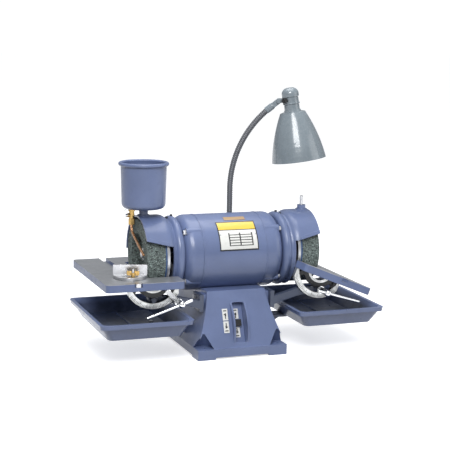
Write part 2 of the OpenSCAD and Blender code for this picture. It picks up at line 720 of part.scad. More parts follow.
function bar_turn(s) = s < 0 ? bar_angle : bar_angle - 1;
module clamp_bar(s) {
    clamp = s < 0 ? left_clamp : right_clamp;
    color(steel) by_table(s) translate([clamp[0], -clamp_hub_y, clamp[1]]) rotate([0, bar_turn(s), 0]) {
        rod_x(-bar_short + 1.2, bar_long - 1.2, bar_r);
        rod_x(-bar_short, -bar_short + 1.2, bar_r - 0.6);
        rod_x(bar_long - 1.2, bar_long, bar_r - 0.6);
    }
}
module clamp_screw_left() { clamp_screw(-1); }
module clamp_screw_right() { clamp_screw(1); }
module clamp_bar_left() { clamp_bar(-1); }
module clamp_bar_right() { clamp_bar(1); }

// ---------- mitre gauge ----------
mitre_y = -76;
bar_fit = 0.2;
module at_mitre() {
    on_table(-1) translate([slot_off, mitre_y, 0]) children();
}
module mitre_bar() {
    bar_front = -table_front - 1 - mitre_y;
    color(steel) at_mitre() {
        translate([-slot_w / 2 + bar_fit, bar_front + 8, -slot_h + bar_fit]) cube([slot_w - 2 * bar_fit, 142, slot_h - 2 * bar_fit]);
        translate([0, bar_front + 8, -slot_h + bar_fit]) cylinder(h = slot_h - 2 * bar_fit, r = slot_w / 2 - bar_fit);
        // pivot pin and clamp stud
        translate([0, 0, -4]) cylinder(h = 13, r = 3);
        translate([0, -22, -4]) cylinder(h = 26, r = 2.5);
    }
}
module mitre_head() {
    head_r = 35;
    color(steel) at_mitre() rotate([0, 0, mitre_angle]) difference() {
        union() {
            translate([0, 0, 0.3]) intersection() {
                cylinder(h = 6, r = head_r);
                translate([-50, -50, 0]) cube([100, 54, 10]);
            }
            translate([-35.5, -1, 0.3]) cube([71, 5, 27]);
        }
        translate([0, 0, -1]) cylinder(h = 12, r = 3 + e);
        translate([-5, -1.5, 6.3]) cube([10, 6, 6]);
        // curved slot for the clamp stud
        translate([0, 0, -1]) rotate([0, 0, 225]) rotate_extrude(angle = 90) translate([19, 0]) square([6, 12]);
        for (a = [225, 315]) rotate([0, 0, a]) translate([22, 0, -1]) cylinder(h = 12, r = 3);
    }
}
module mitre_nut() {
    color("goldenrod") at_mitre() translate([0, -22, 6.5]) difference() {
        union() {
            cylinder(h = 8, r = 5);
            for (a = [0, 180]) rotate([0, 0, a + 20]) intersection() {
                translate([3, -1.2, 2]) cube([10, 2.4, 10]);
                translate([8, 0, 8]) rotate([90, 0, 0]) cylinder(h = 4, r = 6, center = true);
            }
        }
        translate([0, 0, -1]) cylinder(h = 14, r = 2.5 + e);
    }
}

// ---------- coolant pot and tap ----------
module at_pot() {
    translate([-stud_x, 0, pot_z]) children();
}
module pot() {
    bottom_r = pot_r - 2;
    corner = 11;
    rim_r = 4.2;
    socket_h = stud_len + 3;
    color(paint) at_pot() difference() {
        union() {
            rotate_extrude() polygon(concat([[0, 0]], arc(bottom_r - corner, corner, corner, -90, 0, 6), [[pot_r, pot_h - rim_r]],
                arc(pot_r + 0.9, pot_h, rim_r, -70, 160, 10),
                [[pot_r - pot_wall, pot_h - rim_r]],
                arc(bottom_r - corner, corner, corner - pot_wall, 0, -90, 6), [[9, pot_wall], [0, pot_wall]]));
            cylinder(h = socket_h + 2 - pot_neck, r = 8);
            // neck under the pot that stands on the guard's boss
            translate([0, 0, -pot_neck]) cylinder(h = pot_neck + 1, r = 10.5);
        }
        translate([0, 0, -pot_neck - 1]) cylinder(h = socket_h, r = stud_r + e);
        translate([-tap_off, 0, -1]) cylinder(h = pot_wall + 2, r = 4 + e);
    }
}
tap_z = -14;
module tap_body() {
    color("goldenrod") at_pot() translate([-tap_off, 0, 0]) difference() {
        union() {
            translate([0, 0, -8]) cylinder(h = 8 + pot_wall, r = 4);
            translate([0, 0, pot_wall]) cylinder(h = 2.5, r = 6.5, $fn = 6);
            translate([0, 0, -5]) cylinder(h = 4.9, r = 7.6, $fn = 6);
            translate([0, 0, -22]) cylinder(h = 18, r = 5.6);
            translate([0, 0, tap_z]) rod_x(-9, 5, 4.6);
            translate([0, 0, -34]) cylinder(h = 12.5, r = 7.2, $fn = 6);
        }
        translate([0, 0, tap_z]) rod_x(-10, 3, 2.2);
        translate([0, 0, -35]) cylinder(h = 12, r = tube_r + 0.01);
    }
}
module tap_handle() {
    color(steel) at_pot() translate([-tap_off, 0, tap_z]) {
        rod_x(-14, 2, 2.15);
        rod_x(-14, -9.4, 3.6);
        translate([-12.8, 0, 0]) upright(-1.6, 1.6) {
            translate([-1.6, -3]) square([3.2, 11.5]);
            translate([0, 9]) circle(r = 3.4, $fn = 48);
        }
    }
}
tube_bend_r = 16;
tube_bend = 61;
module drip_tube() {
    straight = 14;
    run = 74;
    heading = -86;
    color("sandybrown") at_pot() translate([-tap_off, 0, -24]) rotate([0, 0, heading]) {
        translate([0, 0, -straight]) cylinder(h = straight, r = tube_r, $fn = 48);
        translate([tube_bend_r, 0, -straight]) rotate([90, 0, 0]) rotate([0, 0, 180])
            rotate_extrude(angle = tube_bend, $fn = 72) translate([tube_bend_r, 0]) circle(r = tube_r, $fn = 48);
        translate([tube_bend_r, 0, -straight]) rotate([0, 90 - tube_bend, 0]) translate([0, 0, -tube_bend_r]) {
            rotate([0, 90, 0]) cylinder(h = run, r = tube_r, $fn = 48);
            // formed beads where the tube's bend starts and ends
            rotate([0, 90, 0]) translate([0, 0, -1]) cylinder(h = 2, r = tube_r + 0.35, $fn = 48);
        }
        translate([0, 0, -straight - 1]) cylinder(h = 2, r = tube_r + 0.35, $fn = 48);
    }
}

// ---------- trays ----------
module tray_block(inset, z0, z1, taper) {
    hull() {
        translate([tray_in + inset, -tray_front + inset, z1 - 0.01]) linear_extrude(height = 0.01)
            offset(r = 14, $fn = 32) offset(delta = -14) square([tray_w - 2 * inset, tray_front + tray_back - 2 * inset]);
        translate([tray_in + inset + taper, -tray_front + inset + taper, z0]) linear_extrude(height = 0.01)
            offset(r = 12, $fn = 32) offset(delta = -12) square([tray_w - 2 * inset - 2 * taper, tray_front + tray_back - 2 * inset - 2 * taper]);
    }
}
module tray(s) {
    taper = 18;
    color(paint) side(s) difference() {
        union() {
            tray_block(4, tray_floor_z, tray_z - 4, taper);
            tray_block(0, tray_z - 9, tray_z, 2);
            // lug that takes the bracket screws
            translate([tray_in + 30, -22, tray_floor_z - 0.2]) cube([44, 44, 1]);
        }
        tray_block(4 + tray_t, tray_floor_z + tray_t, tray_z + 1, taper);
        for (y = [-12, 12]) translate([tray_in + 52, y, tray_floor_z - 3]) cylinder(h = 12, r = 2.5);
    }
    // raised rib along the floor
    color(paint) side(s) translate([tray_in + tray_w / 2 - 3, -tray_front + 40, tray_floor_z + tray_t - 0.1]) cube([6, tray_front + tray_back - 80, 2.6]);
}
module tray_left() { tray(-1); }
module tray_right() { tray(1); }
tray_leg_x = tray_pad_x + 0.2;
module tray_bracket(s) {
    color(dark) side(s) difference() {
        union() {
            translate([tray_leg_x, -20, tray_floor_z - 24]) cube([5, 40, 23.5]);
            translate([tray_leg_x, -20, tray_floor_z - 5.25]) cube([tray_in + 66 - tray_leg_x, 40, 5]);
            for (y = [-20, 17]) translate([tray_leg_x, y + 3, tray_floor_z - 5]) rotate([90, 0, 0])
                linear_extrude(height = 3) polygon([[0, 0], [0, -18], [30, 0]]);
        }
        for (y = [-12, 12]) {
            translate([tray_in + 52, y, tray_floor_z - 8]) cylinder(h = 12, r = 2.5);
            translate([0, y, tray_floor_z - 12]) rod_x(tray_leg_x - 1, tray_leg_x + 6, 2.5);
        }
    }
}
module tray_bracket_left() { tray_bracket(-1); }
module tray_bracket_right() { tray_bracket(1); }
module tray_screws() {
    color(steel) for (s = [-1, 1], y = [-12, 12]) side(s) translate([0, y, 0]) {
        translate([tray_in + 52, 0, tray_floor_z - 7]) cylinder(h = 7 + tray_t, r = 2.4);
        translate([tray_in + 52, 0, tray_floor_z + tray_t]) cylinder(h = 2.6, r = 4.4);
        translate([0, 0, tray_floor_z - 12]) {
            rod_x(tray_leg_x - 18, tray_leg_x + 5, 2.4);
            rod_x(tray_leg_x + 5, tray_leg_x + 8, 4.4, 6);
        }
    }
    color(steel) for (s = [-1, 1], z = [104, 124]) side(s) translate([0, -60, z]) {
        rod_x(column_w / 2 - 8, column_w / 2 + 19.2, 2.9);
        rod_x(column_w / 2 + 19.2, column_w / 2 + 23.5, 5.2, 6);
    }
}

// ---------- switch ----------
module on_recess() {
    on_front(recess_z) children();
}
module switch_plate() {
    color("white") on_recess() difference() {
        translate([0, recess_depth, 0]) rotate([90, 0, 0]) translate([-recess_w / 2 + 0.3, -recess_h / 2 + 0.3, 0])
            linear_extrude(height = 1.2) rounded(recess_w - 0.6, recess_h - 0.6, 4.7);
        translate([-7, recess_depth - 3, -7.6]) cube([14, 6, 15.2]);
    }
}
module switch_body() {
    color(dark) on_recess() difference() {
        union() {
            translate([-7.8, recess_depth + e, -22.8]) cube([15.6, 26, 45.6]);
        }
        translate([-6.6, recess_depth - 1, -7.2]) cube([13.2, 13, 14.4]);
    }
}
module switch_toggle() {
    color("black") on_recess() translate([0, recess_depth + 5, 0]) {
        rod_x(-6.3, 6.3, 4);
        upright_piece();
    }
}
module upright_piece() {
    translate([-6, -12, -3.4]) cube([12, 12, 6.8]);
    translate([-6, -13.5, -7]) cube([12, 4.5, 14]);
}
module direction_plate() {
    for (z = [-21.5, 5.5]) color("white") on_recess() translate([-recess_w / 2 - 23.5, -0.8 - e, z]) cube([12, 0.8, 25]);
}
module start_capacitor() {
    color("dimgray") translate([48, -30, 46]) {
        rod_y(0, 84, 18);
        rod_y(84, 86, 14);
        for (x = [-6, 6]) translate([x, 0, 0]) rod_y(86, 94, 1.5, 24);
    }
    // strap and foot that hold it down to the bottom cover
    color("dimgray") translate([48, -30, 6.5]) {
        for (x = [-20, 17.9]) translate([x, 34, 0]) cube([2.1, 16, 40]);
        translate([-20, 34, 0]) cube([40, 16, 2]);
    }
}
module cable_gland() {
    color(dark) translate([-50, half_d(45), 45]) rotate([face_angle, 0, 0]) {
        difference() {
            union() {
                rod_y(-12, 12, 7.9);
                rod_y(0.1, 5, 12, 6);
                rod_y(-base_wall - 7, -base_wall - 1.5, 12, 6);
                rod_y(5, 14, 9.5);
                rod_y(14, 20, 7);
            }
            rod_y(-20, 30, 3.6);
        }
    }
}

// ---------- lamp ----------
// The upright plane that the gooseneck lies in: X along the plane, Z up
module in_neck_plane() {
    translate([neck_x, neck_y, 0]) rotate([0, 0, neck_plane]) children();
}
// A point on the gooseneck's bend, and its heading above the horizon
function bend_point(a) = [neck_bend_r * (1 - cos(a)), neck_bend_z + neck_bend_r * sin(a)];
// Half the gap between two lengths, as an angle of the bend
half_gap = neck_gap / 2 / neck_bend_r * 180 / PI;
module neck_arc(a0, a1) {
    translate([neck_bend_r, 0, neck_bend_z]) rotate([90, 0, 0]) rotate([0, 0, 180 - a1])
        rotate_extrude(angle = a1 - a0, $fn = 360) translate([neck_bend_r, 0]) circle(r = neck_r, $fn = 48);
}
fitting_z = shaft_z + 11;
module lamp_fitting() {
    color(paint) difference() {
        union() {
            translate([neck_x, 0, fitting_z]) {
                rod_y(60, neck_y + 9, 10);
                rod_y(60, motor_r + 4, 17);
                translate([0, neck_y, -10]) cylinder(h = 32, r = 9);
            }
        }
        at_shaft() rod_x(-base_w, base_w, motor_r + e);
        translate([neck_x, neck_y, fitting_z - 4]) cylinder(h = 40, r = neck_r + e);
        translate([neck_x, 0, fitting_z]) rod_y(60, neck_y - neck_r - 2, 4);
    }
}
module gooseneck_lower() {
    color(dark) in_neck_plane() {
        translate([0, 0, fitting_z - 3.9]) cylinder(h = neck_bend_z - fitting_z + 3.9, r = neck_r, $fn = 48);
        neck_arc(0, neck_a1 - half_gap);
        translate([0, 0, neck_bend_z - 1]) cylinder(h = 2, r = neck_r + 0.35, $fn = 48);
    }
}
module gooseneck_middle() {
    color(dark) in_neck_plane() neck_arc(neck_a1 + half_gap, neck_a2 - half_gap);
}
// The end of the gooseneck, with Z along its heading
module at_neck_end() {
    end = bend_point(neck_a3);
    in_neck_plane() translate([end[0], 0, end[1]]) rotate([0, neck_a3, 0]) children();
}
knuckle_reach = 22;
module gooseneck_upper() {
    color(dark) in_neck_plane() neck_arc(neck_a2 + half_gap, neck_a3);
    color(dark) at_neck_end() difference() {
        union() {
            translate([0, 0, -13]) cylinder(h = 16, r = 7.6);
            translate([0, 0, 3]) cylinder(h = 5, r1 = 7.6, r2 = 6);
            translate([-6, -6, 6]) cube([12, 3.6, knuckle_reach - 6]);
            translate([-6, 2.4, 6]) cube([12, 3.6, knuckle_reach - 6]);
            translate([0, 0, knuckle_reach]) {
                rod_y(-6, -2.4, 6);
                rod_y(2.4, 6, 6);
            }
        }
        translate([0, 0, knuckle_reach]) rod_y(-7, 7, 2.5 + e);
    }
    // pinch screw and its round head
    color(steel) at_neck_end() translate([0, 0, knuckle_reach]) {
        rod_y(-9, 8, 2.5);
        rod_y(-10.5, -6.1, 5);
        rod_y(6.1, 9.5, 4.6, 6);
    }
}
pivot_point = bend_point(neck_a3) + knuckle_reach * [sin(neck_a3), cos(neck_a3)];
cap_r = 19;
cap_h = 42;
// Offsets from the knuckle's pin to the middle of the shade's mouth, in the lamp's own tilted frame
lamp_out = 27;
lamp_drop = 136;
module at_lamp() {
    in_neck_plane() translate([pivot_point[0], 0, pivot_point[1]]) rotate([0, -shade_tilt, 0]) translate([lamp_out, 0, -lamp_drop]) children();
}
module lamp_shade() {
    top_r = 28;
    wall = 1.6;
    slope = atan2(shade_h, shade_r - top_r);
    side_len = norm([shade_h, shade_r - top_r]);
    bulge_r = 3.2 * side_len;
    half_turn = asin(side_len / 2 / bulge_r);
    mid = [(shade_r + top_r) / 2, shade_h / 2];
    centre = mid - bulge_r * cos(half_turn) * [sin(slope), cos(slope)];
    start_angle = 90 - slope - half_turn;
    color([0.55, 0.60, 0.64]) at_lamp() {
        difference() {
            union() {
                rotate_extrude() polygon(concat([[shade_r - wall, 0], [shade_r, 0]],
                    arc(centre[0], centre[1], bulge_r, start_angle, start_angle + 2 * half_turn, 10),
                    [[cap_r - 2, shade_h + 3], [cap_r - 2, shade_h + 1]],
                    arc(centre[0], centre[1], bulge_r - wall, start_angle + 2 * half_turn - 0.5, start_angle, 10)));
                // socket cap with its rings and dome
                translate([0, 0, shade_h + 1]) difference() {
                    rotate_extrude() polygon(concat([[0, 0], [cap_r, 0], [cap_r, 4], [cap_r - 1.8, 5], [cap_r - 1.8, 17], [cap_r, 18],
                        [cap_r, 20], [cap_r - 1.8, 21], [cap_r - 1.8, 33], [cap_r, 34], [cap_r, 36]], arc(cap_r - 14, 40, 14, 0, 90, 8), [[0, 54]]));
                    translate([0, 0, -1]) cylinder(h = 46, r = cap_r - 4);
                }
                // lug to the knuckle
                translate([-lamp_out, 0, lamp_drop]) {
                    rod_y(-2.2, 2.2, 6);
                    translate([0, -2.2, -5]) cube([lamp_out - cap_r + 2, 4.4, 10]);
                }
                // ceramic lamp holder inside the cap
                translate([0, 0, shade_h - 14]) cylinder(h = 40, r = 14.5);
                translate([0, 0, shade_h + 24]) cylinder(h = 6, r = cap_r - 3.5);
            }
            translate([-lamp_out, 0, lamp_drop]) rod_y(-8, 8, 2.5 + e);
            translate([0, 0, shade_h - 15]) cylinder(h = 28, r = 13.2);
            knob_place() rod_y(-cap_r - 8, -10, 2.6);
        }
    }
}
module knob_place() {
    translate([0, 0, shade_h + 29]) rotate([0, 0, -30]) children();
}
module lamp_bulb() {
    color("whitesmoke") at_lamp() {
        translate([0, 0, 52]) sphere(r = 26);
        translate([0, 0, 70]) cylinder(h = 20, r1 = 18, r2 = 13);
        translate([0, 0, 88]) cylinder(h = 30, r = 13);
    }
}
module lamp_knob() {
    color("black") at_lamp() knob_place() {
        rod_y(-cap_r - 4, -12, 2.5);
        rod_y(-cap_r - 12, -cap_r - 1.5, 5);
        translate([-1.2, -cap_r - 13, -5.8]) cube([2.4, 8, 11.6]);
    }
}

base_casting();
bottom_cover();
motor_shell();
end_bell_left();
end_bell_right();
motor_through_bolts();
stator_core();
stator_windings();
bearing_outer_rings();
guard_left();
guard_right();
guard_screws();
pot_studs();
table_bracket_left();
table_bracket_right();
clamp_strap_left();
tray_left();
tray_right();
tray_bracket_left();
tray_bracket_right();
tray_screws();
switch_body();
switch_plate();
direction_plate();
data_plate();
plate_rivets();
start_capacitor();
cable_gland();
lamp_fitting();
gooseneck_lower();
shaft();
rotor_core();
bearing_inner_rings();
wheel_plate_left();
wheel_plate_right();
wheel_blotters();
wheel_left();
wheel_right();
shaft_nuts();
table_left();
quadrant_left();
table_right();
quadrant_right();
clamp_screw_left();
clamp_bar_left();
clamp_screw_right();
clamp_bar_right();
mitre_bar();
mitre_head();
mitre_nut();
pot();
tap_body();
drip_tube();
tap_handle();
gooseneck_middle();
gooseneck_upper();
lamp_shade();
lamp_bulb();
lamp_knob();
switch_toggle();
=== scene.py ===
"""Looks for a bench tool grinder: paints its castings, finishes its metals, wheels, plates and lamp,
adds the ribbed neck, the quadrant scales and the switch trim, and sets a plain pale stage."""
import json
import math

import bmesh
import bpy
from bpy.props import FloatProperty, FloatVectorProperty, IntProperty, PointerProperty
from mathutils import Matrix, Vector


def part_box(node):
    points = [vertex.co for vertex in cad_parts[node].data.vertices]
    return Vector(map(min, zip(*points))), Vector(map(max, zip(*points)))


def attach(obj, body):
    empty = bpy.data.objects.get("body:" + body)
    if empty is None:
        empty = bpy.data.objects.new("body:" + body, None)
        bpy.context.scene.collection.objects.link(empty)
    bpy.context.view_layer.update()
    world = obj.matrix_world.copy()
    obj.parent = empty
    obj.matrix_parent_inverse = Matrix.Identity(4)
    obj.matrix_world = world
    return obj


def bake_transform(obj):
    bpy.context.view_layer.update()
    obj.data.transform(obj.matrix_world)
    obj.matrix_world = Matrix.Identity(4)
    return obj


bl_info = {
    "name": "Bench Grinder Finisher",
    "version": (1, 0, 0),
    "blender": (4, 5, 0),
    "location": "View3D > Sidebar > Grinder",
    "description": "Finishes and trims a double-ended bench tool grinder",
    "category": "Object",
}

MM = 0.001
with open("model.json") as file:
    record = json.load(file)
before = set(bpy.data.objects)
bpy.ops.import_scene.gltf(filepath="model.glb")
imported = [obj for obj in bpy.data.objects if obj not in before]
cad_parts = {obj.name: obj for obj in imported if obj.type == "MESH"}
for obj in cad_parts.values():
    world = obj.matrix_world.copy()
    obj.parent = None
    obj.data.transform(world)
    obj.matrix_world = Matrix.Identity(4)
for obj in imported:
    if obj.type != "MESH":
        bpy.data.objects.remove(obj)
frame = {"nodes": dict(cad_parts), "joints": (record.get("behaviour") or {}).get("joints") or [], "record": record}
NODES = frame["nodes"]
JOINTS = {joint["name"]: joint for joint in frame["joints"]}
OPENINGS = {box["name"]: box["box_m"] for box in frame["record"]["physics"]["openings"]}
SLOTS = {part["node"]: part["material_slot"] for part in frame["record"]["subparts"]}
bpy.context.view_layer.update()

FACE_LEAN = math.radians(21.37)  # lean of the base's front face
TOGGLE_DEPTH = 19 * MM  # from the base's front face in to the switch's pivot
SWITCH_PLATE_DEPTH = 12.8 * MM
SHAFT_HEIGHT = JOINTS["rotor_spin"]["pos_m"][2]
RIGHT_TILT = math.radians(22)
# How far the neck has bent at its two joints and at its end
NECK_TURNS = [math.radians(turn) for turn in (10, 31, 51)]
# the band between these radii gets painted shade on the quadrants
QUADRANT_SHADE_RADII = (30.5 * MM, 52.4 * MM)  # radii between a quadrant's inner ring and its outer band
QUADRANT_RIM = 63 * MM  # radius where the graduations start
PLATE_SWEEP = (math.radians(9.5), math.radians(58))  # the rating plate's lower and upper edge, round the shaft
REFLECTOR_DEPTH = 92 * MM  # how far up the shade its white inside goes

INK = (0.02, 0.02, 0.022)
# painted shade: near black, for the shade in a quadrant's slot and the dark bracket behind it
QUADRANT_SHADE_BLACK = (0.012, 0.013, 0.016)
TAN_LABEL = (0.42, 0.27, 0.13)
HAND_MARKS = (0.3, 0.28, 0.24)
REFLECTOR_WHITE = (0.80, 0.80, 0.77)
BLACKENED_STEEL = (0.022, 0.023, 0.026)
NECK_RUBBER = (0.045, 0.05, 0.06)
SCALE_BLACK = (0.015, 0.016, 0.02)
SWITCH_BLACK = (0.012, 0.012, 0.013)
BLOTTER_BLUE = (0.05, 0.10, 0.22)
WINDOW_WHITE = (0.93, 0.96, 1.0)

CAMERA_PLACE = Vector((-0.9542, -2.5689, 0.7166))
CAMERA_AIM = Vector((0.0026, 0, 0.2646))
CAMERA_ROLL = math.radians(0.939)
CAMERA_LENS = 101.79


# ---------- materials ----------
class Finish:
    """A material being made. Each method adds a node and returns its output."""

    def __init__(self, name, **constants):
        self.material = bpy.data.materials.new(name)
        self.material.use_nodes = True
        self.tree = self.material.node_tree
        self.shader = self.tree.nodes["Principled BSDF"]
        texture_place = self.tree.nodes.new("ShaderNodeTexCoord")
        self.place = texture_place.outputs["Object"]
        self.facing = texture_place.outputs["Normal"]
        self.give(**constants)

    def join(self, value, socket):
        if isinstance(value, bpy.types.NodeSocket):
            self.tree.links.new(value, socket)
        else:
            socket.default_value = value

    def give(self, **values):
        """Sets or links the shader's sockets, named with _ for a space."""
        for name, value in values.items():
            self.join(value, self.shader.inputs[name.replace("_", " ")])

    def node(self, kind, inputs, output=0, **settings):
        made = self.tree.nodes.new("ShaderNode" + kind)
        for name, value in settings.items():
            setattr(made, name, value)
        for name, value in inputs.items():
            self.join(value, made.inputs[name])
        return made.outputs[output]

    def math(self, operation, *values, clamp=False):
        return self.node("Math", dict(enumerate(values)), operation=operation, use_clamp=clamp)

    def vector(self, operation, *values, output=0):
        return self.node("VectorMath", dict(enumerate(values)), output=output, operation=operation)

    def dot(self, a, b):
        return self.vector("DOT_PRODUCT", a, b, output="Value")

    def axes(self, point=None):
        split = self.tree.nodes.new("ShaderNodeSeparateXYZ")
        self.join(point or self.place, split.inputs[0])
        return split.outputs

    def stretched(self, scale):
        return self.node("Mapping", {"Vector": self.place, "Scale": scale})

    def noise(self, scale, detail=3.0, roughness=0.55, where=None):
        return self.node("TexNoise", {"Vector": where or self.place, "Scale": scale, "Detail": detail,
                                      "Roughness": roughness}, output="Fac")

    def spread(self, value, low, high, from_low=0.3, from_high=0.7, clamp=True):
        return self.node("MapRange", {"Value": value, "From Min": from_low, "From Max": from_high,
                                      "To Min": low, "To Max": high}, clamp=clamp)

    def mix(self, factor, first, second):
        made = self.tree.nodes.new("ShaderNodeMix")
        made.data_type = "RGBA"
        self.join(factor, made.inputs[0])
        self.join(as_colour(first), made.inputs[6])
        self.join(as_colour(second), made.inputs[7])
        return made.outputs[2]

    def between(self, value, low, high):
        return self.math("MULTIPLY", self.math("GREATER_THAN", value, low),
                         self.math("LESS_THAN", value, high))

    def either(self, *masks):
        total = masks[0]
        for mask in masks[1:]:
            total = self.math("MAXIMUM", total, mask)
        return total

    def soft_edge(self, radius):
        return self.node("Bevel", {"Radius": radius}, samples=4)

    def worn_edge(self, radius, rough):
        """1 along outer and inner corners, broken up by rough, and 0 on open faces."""
        true_normal = self.node("NewGeometry", {}, output="Normal")
        bend = self.math("SUBTRACT", 1.0, self.dot(self.soft_edge(radius), true_normal))
        return self.math("MULTIPLY", self.spread(bend, 0, 1, 0.06, 0.22),
                         self.spread(rough, 0, 1, 0.48, 0.6))

    def relief(self, height, strength, distance, normal=None):
        inputs = {"Height": height, "Strength": strength, "Distance": distance}
        if normal:
            inputs["Normal"] = normal
        return self.node("Bump", inputs)


def as_colour(value):
    if isinstance(value, bpy.types.NodeSocket):
        return value
    return (*value[:3], 1.0)


def shade(colour, amount):
    return tuple(min(1.0, channel * amount) for channel in colour)


def put_on(material, names):
    for name in names:
        for slot in NODES[name].material_slots:
            slot.material = material


def in_slot(*slots):
    return [name for name, slot in SLOTS.items() if slot in slots]


def painted(name, colour, looks, gloss=0.36, grain=1.0, inside=None):
    """Sprayed paint on a casting: orange peel, uneven sheen, grime and rubbed corners, and painted shade with
    stain on the faces that inside picks.
    """
    paint = Finish(name, Coat_Weight=0.3, Coat_Roughness=0.16, IOR=1.5)
    cloud = paint.noise(14, 4)
    grime = paint.noise(55, 6, 0.7)
    peel = paint.noise(620, 2)
    base = paint.mix(paint.spread(cloud, 0, 1), shade(colour, 0.9), shade(colour, 1.08))
    base = paint.mix(paint.spread(grime, 0, 0.3, 0.52, 0.78), base, shade(colour, 0.62))
    # painted shade: the faces that inside picks are darkened towards a quarter of the paint colour
    if inside:
        base = paint.mix(inside(paint), base, shade(colour, 0.24))
    rub = paint.worn_edge(looks.edge_radius * 0.8, paint.noise(90, 5, 0.65))
    base = paint.mix(paint.math("MULTIPLY", rub, looks.edge_wear), base, shade(colour, 2.1))
    rough = paint.math("ADD", paint.spread(grime, gloss - 0.05, gloss + 0.12),
                       paint.math("MULTIPLY", rub, 0.1))
    surface = paint.relief(paint.noise(150, 3), 0.10 * grain, 0.6 * MM, paint.soft_edge(looks.edge_radius))
    paint.give(Base_Color=base, Roughness=rough, Normal=paint.relief(peel, 0.12 * grain, 0.15 * MM, surface))
    return paint.material


def tray_inside_shade_and_stain(paint):
    """Painted shade and coolant stain on the wetted inner faces of a tray: they look up, and lie below its rim."""
    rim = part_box("tray_left")[1].z - 5 * MM
    looks_up = paint.math("GREATER_THAN", paint.axes(paint.facing)[2], 0.15)
    low = paint.spread(paint.axes()[2], 1, 0, rim - 8 * MM, rim)
    patchy = paint.spread(paint.noise(30, 5, 0.7), 0.55, 1.0)
    return paint.math("MULTIPLY", paint.math("MULTIPLY", looks_up, low), patchy)


def brushed(name, colour, roughness, looks, along=(40, 900, 900), depth=0.12, tarnish=0.5):
    """Turned or drawn bright metal: fine lines, fingerprints and softened corners."""
    metal = Finish(name, Metallic=1.0)
    lines = metal.noise(1.0, 4, 0.6, metal.stretched(along))
    smudge = metal.noise(60, 5, 0.7)
    base = metal.mix(metal.spread(smudge, 0, tarnish, 0.45, 0.8), colour, shade(colour, 0.5))
    base = metal.mix(metal.spread(lines, 0, 0.35), base, shade(colour, 1.25))
    rough = metal.math("ADD", metal.spread(smudge, roughness * 0.75, roughness * 1.4),
                       metal.spread(lines, -0.04, 0.05))
    metal.give(Base_Color=base, Roughness=rough,
               Normal=metal.relief(lines, depth, 0.08 * MM, metal.soft_edge(looks.edge_radius * 0.4)))
    return metal.material


def table_finish(name, side, looks):
    """Ground top face over painted flanks, told apart by height above the table's own plane."""
    tilt = RIGHT_TILT if side > 0 else 0.0
    up = Vector((math.sin(tilt), 0, math.cos(tilt)))
    hinge = Vector(JOINTS["right_table_tilt" if side > 0 else "left_table_tilt"]["pos_m"])
    iron = Finish(name, Coat_Weight=0.1, Coat_Roughness=0.25)
    height = iron.math("SUBTRACT", iron.dot(iron.place, up), up.dot(hinge))
    top = iron.spread(height, 0, 1, -0.9 * MM, -0.3 * MM)
    slot_floor = iron.math("MULTIPLY", iron.between(height, -8.3 * MM, -7.6 * MM),
                           iron.math("GREATER_THAN", iron.dot(iron.facing, up), 0.9))
    ground = iron.either(top, slot_floor)
    lines = iron.noise(1.0, 5, 0.6, iron.stretched((45, 1100, 60)))
    stain = iron.noise(26, 6, 0.65)
    bare = iron.mix(iron.spread(stain, 0, 0.75, 0.42, 0.7), looks.table_colour,
                    shade(looks.table_colour, 0.66))
    bare = iron.mix(iron.spread(lines, 0, 0.4), bare, shade(looks.table_colour, 1.3))
    flank = iron.mix(iron.spread(iron.noise(18, 4), 0, 1), shade(looks.paint_colour, 0.86),
                     shade(looks.paint_colour, 1.05))
    rub = iron.worn_edge(looks.edge_radius, iron.noise(80, 5, 0.65))
    flank = iron.mix(iron.math("MULTIPLY", rub, 0.55), flank, shade(looks.table_colour, 0.9))
    iron.give(Base_Color=iron.mix(ground, flank, bare), Metallic=iron.math("MULTIPLY", ground, 0.85),
              Roughness=iron.math("ADD", iron.spread(stain, 0.34, 0.5), iron.spread(lines, -0.05, 0.05)),
              Normal=iron.relief(lines, iron.math("MULTIPLY", ground, 0.22), 0.08 * MM,
                                 iron.soft_edge(looks.edge_radius * 1.3)))
    return iron.material


def quadrant_finish(name, side, looks):
    """Turned light alloy with painted shade, near black and not metallic, between its outer band and its inner
    ring, where its slot and the dark bracket behind it look black.
    """
    hinge = Vector(JOINTS[side + "_table_tilt"]["pos_m"])
    alloy = Finish(name)
    across = alloy.vector("MULTIPLY", alloy.vector("SUBTRACT", alloy.place, hinge), (1, 0, 1))
    radius = alloy.vector("LENGTH", across, output="Value")
    # recess marks the band that gets painted shade
    recess = alloy.between(radius, *QUADRANT_SHADE_RADII)
    turning = alloy.math("SINE", alloy.math("MULTIPLY", radius, 9000.0))
    smudge = alloy.noise(50, 5, 0.7)
    bright = alloy.mix(alloy.spread(smudge, 0, 0.8, 0.4, 0.75), looks.alloy_colour,
                       shade(looks.alloy_colour, 0.45))
    alloy.give(Base_Color=alloy.mix(recess, bright, QUADRANT_SHADE_BLACK),
               Metallic=alloy.math("SUBTRACT", 0.9, alloy.math("MULTIPLY", recess, 0.9)),
               Roughness=alloy.spread(smudge, 0.28, 0.46),
               Normal=alloy.relief(turning, 0.08, 0.05 * MM, alloy.soft_edge(looks.edge_radius * 0.4)))
    return alloy.material


